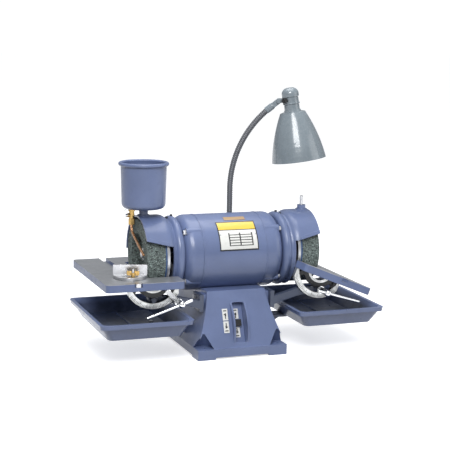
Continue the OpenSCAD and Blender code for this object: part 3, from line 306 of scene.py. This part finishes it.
def grit(name, colour):
    """Bonded abrasive: coarse light and dark grains with open pores."""
    stone = Finish(name, Roughness=0.94)
    cells = stone.tree.nodes.new("ShaderNodeTexVoronoi")
    stone.join(stone.place, cells.inputs["Vector"])
    stone.join(420.0, cells.inputs["Scale"])
    tone = stone.axes(cells.outputs["Color"])[0]
    patches = stone.noise(210, 4, 0.7)
    base = stone.mix(stone.spread(patches, 0, 1, 0.38, 0.62), shade(colour, 0.55), shade(colour, 1.15))
    base = stone.mix(stone.spread(tone, 0, 1, 0.72, 0.95), base, shade(colour, 1.6))
    base = stone.mix(stone.spread(tone, 0.8, 0, 0.02, 0.2), base, shade(colour, 0.2))
    lumps = stone.math("ADD", stone.noise(480, 3, 0.7),
                       stone.math("MULTIPLY", cells.outputs["Distance"], 90.0))
    stone.give(Base_Color=base, Normal=stone.relief(lumps, 0.9, 0.5 * MM))
    return stone.material


def sheet_plate(name, colour, looks, roughness=0.32):
    """Enamelled sheet or card: nearly even, with faint handling marks."""
    plate = Finish(name, Coat_Weight=0.2, Coat_Roughness=0.1)
    marks = plate.noise(70, 5, 0.7)
    plate.give(Base_Color=plate.mix(plate.spread(marks, 0, 0.35, 0.5, 0.8), colour, shade(colour, 0.7)),
               Roughness=plate.spread(marks, roughness - 0.06, roughness + 0.12),
               Normal=plate.relief(plate.noise(400, 2), 0.05, 0.1 * MM,
                                   plate.soft_edge(looks.edge_radius * 0.25)))
    return plate.material


def moulded(name, colour, looks, roughness=0.42):
    """Moulded plastic or rubber with a fine matt texture."""
    plastic = Finish(name, IOR=1.5)
    fine = plastic.noise(900, 2)
    dust = plastic.noise(40, 5, 0.7)
    plastic.give(Base_Color=plastic.mix(plastic.spread(dust, 0, 0.5, 0.5, 0.8), colour, shade(colour, 1.9)),
                 Roughness=plastic.spread(dust, roughness, roughness + 0.15),
                 Normal=plastic.relief(fine, 0.2, 0.08 * MM, plastic.soft_edge(looks.edge_radius * 0.35)))
    return plastic.material


def rating_plate(name, looks):
    """A curved plate with a coloured band over a white panel that has an empty ruled table."""
    lo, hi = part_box("data_plate")
    plate = Finish(name, Coat_Weight=0.4, Coat_Roughness=0.08)
    x, y, z = plate.axes()
    across = plate.spread(x, -1, 1, lo.x, hi.x)
    climb = plate.math("ARCTAN2", plate.math("SUBTRACT", z, SHAFT_HEIGHT),
                       plate.math("MULTIPLY", y, -1.0))
    up = plate.spread(climb, 0, 1, *PLATE_SWEEP, clamp=False)
    table_foot, row_count = 0.14, 11.8
    in_table = plate.math("MULTIPLY", plate.between(across, -0.5, 0.74), plate.between(up, table_foot, 0.56))
    row = plate.math("MULTIPLY", plate.math("SUBTRACT", up, table_foot), row_count)
    rows = plate.math("LESS_THAN", plate.math("FRACT", row), 0.3)
    columns = plate.either(plate.between(across, -0.5, -0.44), plate.between(across, 0.06, 0.12),
                           plate.between(across, 0.68, 0.74))
    ruled = plate.math("MULTIPLY", in_table, plate.either(rows, columns))
    border = plate.math("SUBTRACT", 1.0, plate.math("MULTIPLY", plate.between(across, -0.95, 0.95),
                                                    plate.between(up, 0.04, 0.96)))
    band = plate.math("GREATER_THAN", up, 0.68)
    underline = plate.between(up, 0.655, 0.68)
    label = plate.math("GREATER_THAN", up, 1.02)
    face = plate.mix(band, looks.plate_colour, looks.band_colour)
    face = plate.mix(plate.either(ruled, border, underline), face, INK)
    face = plate.mix(label, face, TAN_LABEL)
    marks = plate.noise(90, 5, 0.7)
    plate.give(Base_Color=plate.mix(plate.spread(marks, 0, 0.2, 0.5, 0.8), face, HAND_MARKS),
               Roughness=plate.spread(marks, 0.25, 0.42),
               Normal=plate.relief(marks, 0.03, 0.1 * MM, plate.soft_edge(0.3 * MM)))
    return plate.material


def lamp_axis():
    """A point on the lamp's own axis near its mouth, and the axis' direction up to its cap."""
    lo, hi = (Vector(corner) for corner in OPENINGS["shade_inside"])
    mouth = (lo + hi) / 2
    return mouth, (Vector(JOINTS["lamp_switch_turn"]["pos_m"]) - mouth).normalized()


def shade_finish(name, looks):
    """Gloss enamel outside and a white reflector inside, told apart by which way a face looks."""
    mouth, axis = lamp_axis()
    enamel = Finish(name, Coat_Weight=0.7, Coat_Roughness=0.07, IOR=1.5)
    arm = enamel.vector("SUBTRACT", enamel.place, mouth)
    height = enamel.dot(arm, axis)
    along = enamel.node("VectorMath", {0: axis, "Scale": height}, operation="SCALE")
    outward = enamel.vector("SUBTRACT", arm, along)
    looks_in = enamel.math("LESS_THAN", enamel.dot(enamel.facing, outward), 0.0)
    inner = enamel.math("MULTIPLY", looks_in, enamel.math("LESS_THAN", height, REFLECTOR_DEPTH))
    marks = enamel.noise(24, 4)
    outer = enamel.mix(enamel.spread(marks, 0, 1), shade(looks.lamp_colour, 0.92),
                       shade(looks.lamp_colour, 1.07))
    rub = enamel.worn_edge(looks.edge_radius * 0.5, enamel.noise(90, 5, 0.65))
    outer = enamel.mix(enamel.math("MULTIPLY", rub, 0.35), outer, shade(looks.lamp_colour, 1.8))
    enamel.give(Base_Color=enamel.mix(inner, outer, REFLECTOR_WHITE),
                Roughness=enamel.spread(enamel.noise(60, 5, 0.7), 0.2, 0.34),
                Normal=enamel.relief(enamel.noise(300, 2), 0.04, 0.2 * MM,
                                     enamel.soft_edge(looks.edge_radius * 0.6)))
    return enamel.material


def frosted_glass(name):
    glass = Finish(name, Transmission_Weight=0.55, IOR=1.45, Coat_Weight=0.3, Coat_Roughness=0.1)
    cloud = glass.noise(120, 3)
    glass.give(Base_Color=glass.mix(glass.spread(cloud, 0, 1), (0.85, 0.85, 0.82), (0.95, 0.95, 0.93)),
               Roughness=glass.spread(cloud, 0.4, 0.55))
    return glass.material


# ---------- shapes ----------
def finish_mesh(name, shape, material, smooth=False):
    """Turns a bmesh into an object at the origin with one material."""
    bmesh.ops.remove_doubles(shape, verts=shape.verts, dist=1e-7)
    bmesh.ops.recalc_face_normals(shape, faces=shape.faces)
    mesh = bpy.data.meshes.new(name)
    shape.to_mesh(mesh)
    shape.free()
    mesh.polygons.foreach_set("use_smooth", [smooth] * len(mesh.polygons))
    mesh.materials.append(material)
    made = bpy.data.objects.new(name, mesh)
    bpy.context.scene.collection.objects.link(made)
    return made


def add_block(shape, size, place, bevel=0.0):
    """A block of the given size, put at place, with its upright corners rounded."""
    made = bmesh.ops.create_cube(shape, size=1.0, matrix=place @ Matrix.Diagonal((*size, 1.0)))
    if bevel:
        up = (place.to_3x3() @ Vector((0, 1, 0))).normalized()
        edges = {edge for vert in made["verts"] for edge in vert.link_edges}
        corners = [e for e in edges if abs((e.verts[0].co - e.verts[1].co).normalized().dot(up)) > 0.99]
        bmesh.ops.bevel(shape, geom=corners, offset=bevel, segments=4, profile=0.5, affect="EDGES",
                        material=-1)


def add_arrow(shape, x, out, up, heading):
    """A flat arrow with a short bar behind its point, on the base's front face."""
    add_block(shape, (2 * MM, 0.3 * MM, 7 * MM), on_face(x, out, up - heading * 3 * MM))
    add_block(shape, (7 * MM, 0.3 * MM, 2.2 * MM), on_face(x, out, up + heading * 10.5 * MM))
    turned = Matrix.Rotation(math.pi / 2, 4, "X") @ Matrix.Rotation(heading * math.pi / 2, 4, "Z")
    bmesh.ops.create_cone(shape, cap_ends=True, segments=3, radius1=4 * MM, radius2=4 * MM, depth=0.3 * MM,
                          matrix=on_face(x, out, up + heading * 2.5 * MM) @ turned)


def open_frame(width, height, border, thickness):
    """A flat rectangular frame in the XZ plane, with a hole through it."""
    shape = bmesh.new()
    bmesh.ops.create_cube(shape, size=1.0, matrix=Matrix.Diagonal((width, thickness, height, 1.0)))
    shape.normal_update()
    faces = [face for face in shape.faces if abs(face.normal.y) > 0.99]
    bmesh.ops.inset_individual(shape, faces=faces, thickness=border, use_even_offset=True)
    rims = list({edge for face in faces for edge in face.edges})
    bmesh.ops.delete(shape, geom=faces, context="FACES_ONLY")
    bmesh.ops.bridge_loops(shape, edges=rims)
    return shape


def ribbed_tube(stations, radii, sides):
    """A closed tube through the stations (matrices whose Z runs along it), one radius at each."""
    shape = bmesh.new()
    ring = bmesh.ops.create_circle(shape, segments=sides, radius=radii[0], cap_ends=True,
                                   matrix=stations[0])["verts"]
    edges = list({edge for vert in ring for edge in vert.link_edges})
    for before, after, r0, r1 in zip(stations, stations[1:], radii, radii[1:]):
        grown = bmesh.ops.extrude_edge_only(shape, edges=edges)["geom"]
        ring = [item for item in grown if isinstance(item, bmesh.types.BMVert)]
        edges = [item for item in grown if isinstance(item, bmesh.types.BMEdge)]
        step = after @ Matrix.Diagonal((r1 / r0, r1 / r0, 1, 1)) @ before.inverted()
        bmesh.ops.transform(shape, matrix=step, verts=ring)
    bmesh.ops.holes_fill(shape, edges=edges, sides=0)
    return shape


class NeckCurve:
    """The gooseneck's centre line, from where its joints stand: straight up, then an arc."""

    def __init__(self):
        lower = Vector(JOINTS["gooseneck_lower_bend"]["pos_m"])
        upper = Vector(JOINTS["gooseneck_upper_bend"]["pos_m"])
        normal = Vector(JOINTS["gooseneck_lower_bend"]["axis"])
        a, b, self.end = NECK_TURNS
        self.out = Vector((normal.y, -normal.x, 0)).normalized()
        self.radius = (upper.z - lower.z) / (math.sin(b) - math.sin(a))
        self.root = lower - self.out * self.radius * (1 - math.cos(a))
        self.root.z = lower.z - self.radius * math.sin(a)

    def at(self, length):
        """Place and heading at a length measured from where the arc starts."""
        turn = max(0.0, length / self.radius)
        lean = Matrix.Rotation(math.atan2(self.out.y, self.out.x), 4, "Z") @ Matrix.Rotation(turn, 4, "Y")
        rise = length if length < 0 else self.radius * math.sin(turn)
        point = self.root + self.out * self.radius * (1 - math.cos(turn)) + Vector((0, 0, rise))
        return Matrix.Translation(point) @ lean


def ribbed_sleeve(name, curve, start, end, material, trim):
    """A length of the neck's covering with a raised rib at every pitch."""
    ribs = round((end - start) / trim.rib_pitch)
    pitch = (end - start) / ribs
    low, high = trim.sleeve_radius, trim.sleeve_radius + trim.rib_height
    stations, radii = [curve.at(start)], [low]
    for rib in range(ribs):
        for share, radius in ((0.12, low), (0.3, high), (0.7, high), (0.88, low)):
            stations.append(curve.at(start + (rib + share) * pitch))
            radii.append(radius)
    stations.append(curve.at(end))
    radii.append(low)
    return finish_mesh(name, ribbed_tube(stations, radii, 20), material, smooth=True)


def on_face(x, out, up):
    """A place on the base's leaning front, from the middle of the switch recess; out is the depth inwards."""
    toggle = Vector(JOINTS["motor_switch_toggle"]["pos_m"])
    lean = Matrix.Rotation(-FACE_LEAN, 4, "X")
    return Matrix.Translation(toggle) @ lean @ Matrix.Translation((x, out - TOGGLE_DEPTH, up))


# ---------- stage ----------
def surroundings(sky_light):
    """A world that lights the piece softly from above and looks plain white to the camera."""
    world = bpy.data.worlds.new("surroundings")
    world.use_nodes = True
    tree = world.node_tree
    sky = tree.nodes["Background"]
    sky.inputs["Color"].default_value = (*WINDOW_WHITE, 1)
    height = tree.nodes.new("ShaderNodeSeparateXYZ")
    tree.links.new(tree.nodes.new("ShaderNodeTexCoord").outputs["Generated"], height.inputs[0])
    fade = tree.nodes.new("ShaderNodeMapRange")
    for socket, value in (("From Min", -0.3), ("From Max", 0.8),
                          ("To Min", sky_light * 0.4), ("To Max", sky_light * 1.3)):
        fade.inputs[socket].default_value = value
    tree.links.new(height.outputs["Z"], fade.inputs["Value"])
    tree.links.new(fade.outputs[0], sky.inputs["Strength"])
    seen = tree.nodes.new("ShaderNodeBackground")
    seen.inputs["Color"].default_value = (1, 1, 1, 1)
    seen.inputs["Strength"].default_value = 1.05
    choose = tree.nodes.new("ShaderNodeMixShader")
    path = tree.nodes.new("ShaderNodeLightPath")
    tree.links.new(path.outputs["Is Camera Ray"], choose.inputs[0])
    tree.links.new(sky.outputs[0], choose.inputs[1])
    tree.links.new(seen.outputs[0], choose.inputs[2])
    tree.links.new(choose.outputs[0], tree.nodes["World Output"].inputs["Surface"])
    return world


def hang_light(name, power, size, place):
    """A square light at place, turned to the middle of the grinder."""
    light = bpy.data.lights.new(name, "AREA")
    light.energy, light.size = power, size
    lamp = bpy.data.objects.new(name, light)
    lamp.location = place
    lamp.rotation_euler = (Vector((0, 0, 0.2)) - Vector(place)).to_track_quat("-Z", "Y").to_euler()
    bpy.context.scene.collection.objects.link(lamp)


def stand_camera():
    """The camera, looking at its aim and rolled a little about its own line of sight."""
    camera = bpy.data.objects.new("camera", bpy.data.cameras.new("camera"))
    camera.data.sensor_width, camera.data.lens = 36.0, CAMERA_LENS
    look = (CAMERA_AIM - CAMERA_PLACE).normalized()
    right = look.cross(Vector((0, 0, 1))).normalized()
    up = right.cross(look)
    side = right * math.cos(CAMERA_ROLL) + up * math.sin(CAMERA_ROLL)
    rise = up * math.cos(CAMERA_ROLL) - right * math.sin(CAMERA_ROLL)
    turned = Matrix((side, rise, -look)).transposed().to_4x4()
    camera.matrix_world = Matrix.Translation(CAMERA_PLACE) @ turned
    bpy.context.scene.collection.objects.link(camera)
    bpy.context.scene.camera = camera


# ---------- settings ----------
class GrinderLooks(bpy.types.PropertyGroup):
    paint_colour: FloatVectorProperty(name="Paint",
                                      description="Sprayed paint on the castings, guards, trays and pot",
                                      subtype="COLOR", size=3, min=0, max=1, default=(0.135, 0.177, 0.325))
    # dark bracket paint, made darker still as painted shade so the brackets sink into the shade beside the base
    bracket_paint_and_shade_colour: FloatVectorProperty(name="Bracket Paint",
                                        description="Paint on the table and tray brackets",
                                        subtype="COLOR", size=3, min=0, max=1, default=(0.055, 0.07, 0.115))
    table_colour: FloatVectorProperty(name="Table Iron", description="Ground cast iron of the table tops",
                                      subtype="COLOR", size=3, min=0, max=1, default=(0.40, 0.41, 0.43))
    steel_colour: FloatVectorProperty(name="Steel", description="Bright turned steel",
                                      subtype="COLOR", size=3, min=0, max=1, default=(0.56, 0.565, 0.58))
    chrome_colour: FloatVectorProperty(name="Chrome", description="Plated clamp screws and bars",
                                       subtype="COLOR", size=3, min=0, max=1, default=(0.78, 0.79, 0.80))
    alloy_colour: FloatVectorProperty(name="Alloy", description="Light alloy of the quadrants",
                                      subtype="COLOR", size=3, min=0, max=1, default=(0.72, 0.73, 0.72))
    brass_colour: FloatVectorProperty(name="Brass", description="Brass of the tap and the wing nut",
                                      subtype="COLOR", size=3, min=0, max=1, default=(0.50, 0.33, 0.12))
    copper_colour: FloatVectorProperty(name="Copper", description="Copper of the drip tube and the windings",
                                       subtype="COLOR", size=3, min=0, max=1, default=(0.56, 0.31, 0.17))
    grit_colour: FloatVectorProperty(name="Abrasive", description="Bonded grit of the cup wheels",
                                     subtype="COLOR", size=3, min=0, max=1, default=(0.40, 0.49, 0.465))
    lamp_colour: FloatVectorProperty(name="Lamp Enamel", description="Gloss enamel outside the lamp shade",
                                     subtype="COLOR", size=3, min=0, max=1, default=(0.215, 0.255, 0.285))
    plate_colour: FloatVectorProperty(name="Plate White", description="White of the plates and labels",
                                      subtype="COLOR", size=3, min=0, max=1, default=(0.78, 0.78, 0.75))
    band_colour: FloatVectorProperty(name="Plate Band", description="Coloured band on the rating plate",
                                     subtype="COLOR", size=3, min=0, max=1, default=(0.80, 0.56, 0.07))
    edge_wear: FloatProperty(name="Edge Wear", description="How far the paint is rubbed along corners",
                             subtype="FACTOR", min=0, max=1, default=0.4)
    edge_radius: FloatProperty(name="Edge Radius", description="Radius that a cast corner is softened to",
                               subtype="DISTANCE", unit="LENGTH", min=0, max=0.004, default=1.5 * MM)


class GrinderTrim(bpy.types.PropertyGroup):
    rib_pitch: FloatProperty(name="Rib Pitch", description="Distance between the neck covering's ribs",
                             unit="LENGTH", min=0.002, max=0.01, default=4.2 * MM)
    rib_height: FloatProperty(name="Rib Height", description="How far a rib stands out of the neck covering",
                              unit="LENGTH", min=0.0002, max=0.002, default=0.8 * MM)
    sleeve_radius: FloatProperty(name="Sleeve Radius",
                                 description="Radius of the neck covering between its ribs",
                                 unit="LENGTH", min=0.0055, max=0.008, default=5.8 * MM)
    tick_step: FloatProperty(name="Graduation Step", description="Angle between the quadrants' graduations",
                             unit="ROTATION", subtype="ANGLE", min=0.02, max=0.3, default=math.radians(3))
    long_every: IntProperty(name="Long Graduation Every", description="Every how many graduations one is long",
                            min=2, max=10, default=5)


class GrinderStage(bpy.types.PropertyGroup):
    floor_size: FloatProperty(name="Floor Size", description="Side of the square floor",
                              unit="LENGTH", min=2, max=60, default=40.0)
    key_power: FloatProperty(name="Key Light", description="Power of the large light above the left front",
                             unit="POWER", min=0, max=500, default=44.0)
    fill_power: FloatProperty(name="Fill Light", description="Power of the soft light at the right front",
                              unit="POWER", min=0, max=500, default=9.0)
    top_power: FloatProperty(name="Top Light", description="Power of the overhead light",
                             unit="POWER", min=0, max=500, default=20.0)
    sky: FloatProperty(name="Surroundings", description="Brightness of the white surroundings as a light",
                       min=0, max=3, default=0.42)


# ---------- operators ----------
class PaintCastings(bpy.types.Operator):
    """Paints the base, the motor, the guards, the pot and the lamp's foot"""
    bl_idname = "grinder.paint_castings"
    bl_label = "Paint Castings"

    def execute(self, context):
        looks = context.scene.grinder_looks
        trays = ["tray_left", "tray_right"]
        put_on(painted("casting_paint", looks.paint_colour, looks), set(in_slot("body_paint")) - set(trays))
        # the trays' inner faces below their rims get painted shade mixed with coolant stain
        put_on(painted("tray_paint", looks.paint_colour, looks, gloss=0.3, inside=tray_inside_shade_and_stain), trays)
        return {"FINISHED"}


class PaintBrackets(bpy.types.Operator):
    """Paints the brackets and the dark hardware"""
    bl_idname = "grinder.paint_brackets"
    bl_label = "Paint Brackets"

    def execute(self, context):
        looks = context.scene.grinder_looks
        # the brackets' dark colour is partly paint and partly painted shade
        put_on(painted("bracket_paint", looks.bracket_paint_and_shade_colour, looks, gloss=0.42), in_slot("bracket_paint"))
        put_on(painted("blackened_steel", BLACKENED_STEEL, looks, gloss=0.34), in_slot("dark_steel"))
        put_on(moulded("neck_covering", NECK_RUBBER, looks, 0.36), in_slot("neck_covering"))
        return {"FINISHED"}


class FinishTables(bpy.types.Operator):
    """Grinds the table tops and paints their flanks"""
    bl_idname = "grinder.finish_tables"
    bl_label = "Finish Tables"

    def execute(self, context):
        looks = context.scene.grinder_looks
        put_on(table_finish("left_table_iron", -1, looks), ["table_left"])
        put_on(table_finish("right_table_iron", 1, looks), ["table_right"])
        return {"FINISHED"}


class FinishMetals(bpy.types.Operator):
    """Gives the steel, plated, alloy, brass and copper pieces their bright finishes"""
    bl_idname = "grinder.finish_metals"
    bl_label = "Finish Metals"

    def execute(self, context):
        looks = context.scene.grinder_looks
        for slot, colour, roughness in (("bright_steel", looks.steel_colour, 0.3),
                                        ("bright_chrome", looks.chrome_colour, 0.13),
                                        ("tap_brass", looks.brass_colour, 0.28),
                                        ("copper_tube", looks.copper_colour, 0.27),
                                        ("copper_winding", looks.copper_colour, 0.4),
                                        ("lamination_steel", shade(looks.steel_colour, 0.5), 0.5)):
            put_on(brushed(slot, colour, roughness, looks), in_slot(slot))
        for side in ("left", "right"):
            put_on(quadrant_finish(side + "_quadrant_alloy", side, looks), ["quadrant_" + side])
        return {"FINISHED"}


class FinishWheels(bpy.types.Operator):
    """Gives the cup wheels their grit and the backing discs their card"""
    bl_idname = "grinder.finish_wheels"
    bl_label = "Finish Wheels"

    def execute(self, context):
        looks = context.scene.grinder_looks
        put_on(grit("green_grit", looks.grit_colour), in_slot("abrasive"))
        put_on(sheet_plate("blotter_card", BLOTTER_BLUE, looks, 0.7), in_slot("backing_disc"))
        return {"FINISHED"}


class FinishPlates(bpy.types.Operator):
    """Finishes the rating plate, the switch plate and the moulded switch parts"""
    bl_idname = "grinder.finish_plates"
    bl_label = "Finish Plates"

    def execute(self, context):
        looks = context.scene.grinder_looks
        put_on(sheet_plate("white_enamel", looks.plate_colour, looks), in_slot("white_plate"))
        put_on(rating_plate("rating_plate", looks), ["data_plate"])
        put_on(moulded("black_moulding", SWITCH_BLACK, looks), in_slot("black_plastic"))
        put_on(bpy.data.materials["casting_paint"], ["switch_plate"])
        return {"FINISHED"}


class FinishLamp(bpy.types.Operator):
    """Enamels the shade and frosts the bulb"""
    bl_idname = "grinder.finish_lamp"
    bl_label = "Finish Lamp"

    def execute(self, context):
        looks = context.scene.grinder_looks
        put_on(shade_finish("lamp_enamel", looks), ["lamp_shade"])
        put_on(painted("knuckle_enamel", looks.lamp_colour, looks, gloss=0.3), ["gooseneck_upper"])
        put_on(frosted_glass("bulb_frost"), ["lamp_bulb"])
        return {"FINISHED"}


class BuildNeckCovering(bpy.types.Operator):
    """Builds the ribbed covering along the gooseneck's curve, as two sleeves that are not fastened to its bodies
    """
    bl_idname = "grinder.build_neck_covering"
    bl_label = "Build Neck Covering"

    def execute(self, context):
        trim = context.scene.grinder_trim
        curve = NeckCurve()
        covering = bpy.data.materials["neck_covering"]
        bends = [turn * curve.radius for turn in NECK_TURNS]
        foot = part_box("lamp_fitting")[1].z - curve.root.z - 2 * MM
        middle = (bends[0] + bends[1]) / 2
        for name, start, end, bend, bodies in (
                ("neck_covering_lower", foot, middle, bends[0], ("grinder_frame", "neck_middle")),
                ("neck_covering_upper", middle, bends[2] - 2 * MM, bends[1], ("neck_middle", "neck_end"))):
            sleeve = ribbed_sleeve(name, curve, start, end, covering, trim)
            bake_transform(sleeve)
        return {"FINISHED"}


class EngraveQuadrants(bpy.types.Operator):
    """Adds the graduations along each quadrant's outer edge"""
    bl_idname = "grinder.engrave_quadrants"
    bl_label = "Engrave Quadrants"

    def execute(self, context):
        trim = context.scene.grinder_trim
        ink = moulded("scale_ink", SCALE_BLACK, context.scene.grinder_looks)
        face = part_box("quadrant_left")[0].y + 3.6 * MM
        half_sweep = math.radians(54)
        count = round(half_sweep / trim.tick_step)
        for side, tilt in (("left", 0.0), ("right", RIGHT_TILT)):
            hinge = Vector(JOINTS[side + "_table_tilt"]["pos_m"])
            shape = bmesh.new()
            for tick in range(-count, count + 1):
                length = 7 * MM if tick % trim.long_every == 0 else 4.5 * MM
                spoke = Matrix.Rotation(tilt + tick * trim.tick_step, 4, "Y")
                place = Matrix.Translation((hinge.x, face, hinge.z)) @ spoke
                place = place @ Matrix.Translation((0, 0, length / 2 - QUADRANT_RIM))
                add_block(shape, (0.9 * MM, 0.3 * MM, length), place)
            scale = finish_mesh("quadrant_scale_" + side, shape, ink)
            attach(scale, side + "_table")
        return {"FINISHED"}


class TrimSwitch(bpy.types.Operator):
    """Adds the switch's bright bezel, its two blank labels and the direction arrows"""
    bl_idname = "grinder.trim_switch"
    bl_label = "Trim Switch"

    def execute(self, context):
        labels = bmesh.new()
        marks = bmesh.new()
        for heading, middle in ((1, 20 * MM), (-1, -20 * MM)):
            place = on_face(-3 * MM, SWITCH_PLATE_DEPTH - 0.2 * MM, middle)
            add_block(labels, (13 * MM, 0.5 * MM, 22 * MM), place, 1.5 * MM)
            add_arrow(marks, -3 * MM, SWITCH_PLATE_DEPTH - 0.5 * MM, middle - heading * 3 * MM, heading)
        lo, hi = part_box("direction_plate")
        strip = on_face(0, 0, 0).inverted() @ ((lo + hi) / 2)
        for heading, rise in ((1, 13.5 * MM), (-1, -13.5 * MM)):
            add_arrow(marks, strip.x, -0.9 * MM, strip.z + rise - heading * 2.5 * MM, heading)
        for name, shape, material, slot in (("switch_labels", labels, "white_enamel", "white_plate"),
                                            ("switch_marks", marks, "scale_ink", "black_plastic")):
            piece = finish_mesh(name, shape, bpy.data.materials[material])
            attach(piece, "grinder_frame")
        ring = finish_mesh("switch_bezel", open_frame(14.5 * MM, 15.5 * MM, 1.4 * MM, 0.7 * MM),
                           bpy.data.materials["bright_chrome"])
        ring.data.transform(on_face(0, SWITCH_PLATE_DEPTH - 0.35 * MM, 0))
        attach(ring, "grinder_frame")
        return {"FINISHED"}


class SetStage(bpy.types.Operator):
    """Lays the pale floor, hangs the lights and stands the camera"""
    bl_idname = "grinder.set_stage"
    bl_label = "Set Stage"

    def execute(self, context):
        stage = context.scene.grinder_stage
        floor_shape = bmesh.new()
        bmesh.ops.create_grid(floor_shape, x_segments=1, y_segments=1, size=stage.floor_size / 2)
        pale = Finish("pale_floor", Roughness=0.85, Emission_Color=(1, 1, 1, 1), Emission_Strength=0.62)
        pale.give(Base_Color=pale.mix(pale.noise(3, 2), (0.83, 0.83, 0.84), (0.86, 0.86, 0.87)))
        floor = finish_mesh("floor", floor_shape, pale.material)
        floor.visible_diffuse = False
        context.scene.world = surroundings(stage.sky)
        hang_light("key_light", stage.key_power, 1.1, (-0.7, -1.7, 1.8))
        hang_light("fill_light", stage.fill_power, 1.4, (1.9, -1.2, 0.9))
        hang_light("top_light", stage.top_power, 1.4, (0.1, 0.3, 2.1))
        stand_camera()
        context.scene.view_settings.view_transform = "Standard"
        return {"FINISHED"}


class GrinderPanel(bpy.types.Panel):
    """Lists the grinder's operators and settings"""
    bl_idname = "VIEW3D_PT_grinder"
    bl_label = "Bench Grinder"
    bl_space_type = "VIEW_3D"
    bl_region_type = "UI"
    bl_category = "Grinder"

    def draw(self, context):
        for operator in OPERATORS:
            self.layout.operator(operator.bl_idname)
        for group in SETTINGS:
            box = self.layout.box()
            settings = getattr(context.scene, group)
            for name in SETTINGS[group].__annotations__:
                box.prop(settings, name)


OPERATORS = (PaintCastings, PaintBrackets, FinishTables, FinishMetals, FinishWheels, FinishPlates, FinishLamp,
             BuildNeckCovering, EngraveQuadrants, TrimSwitch, SetStage)
SETTINGS = {"grinder_looks": GrinderLooks, "grinder_trim": GrinderTrim, "grinder_stage": GrinderStage}
CLASSES = (*SETTINGS.values(), *OPERATORS, GrinderPanel)


def register():
    for cls in CLASSES:
        bpy.utils.register_class(cls)
    for name, group in SETTINGS.items():
        setattr(bpy.types.Scene, name, PointerProperty(type=group))


def unregister():
    for name in SETTINGS:
        delattr(bpy.types.Scene, name)
    for cls in reversed(CLASSES):
        bpy.utils.unregister_class(cls)


def main():
    register()
    for operator in OPERATORS:
        group, name = operator.bl_idname.split(".")
        getattr(getattr(bpy.ops, group), name)()


if __name__ == "__main__":
    main()
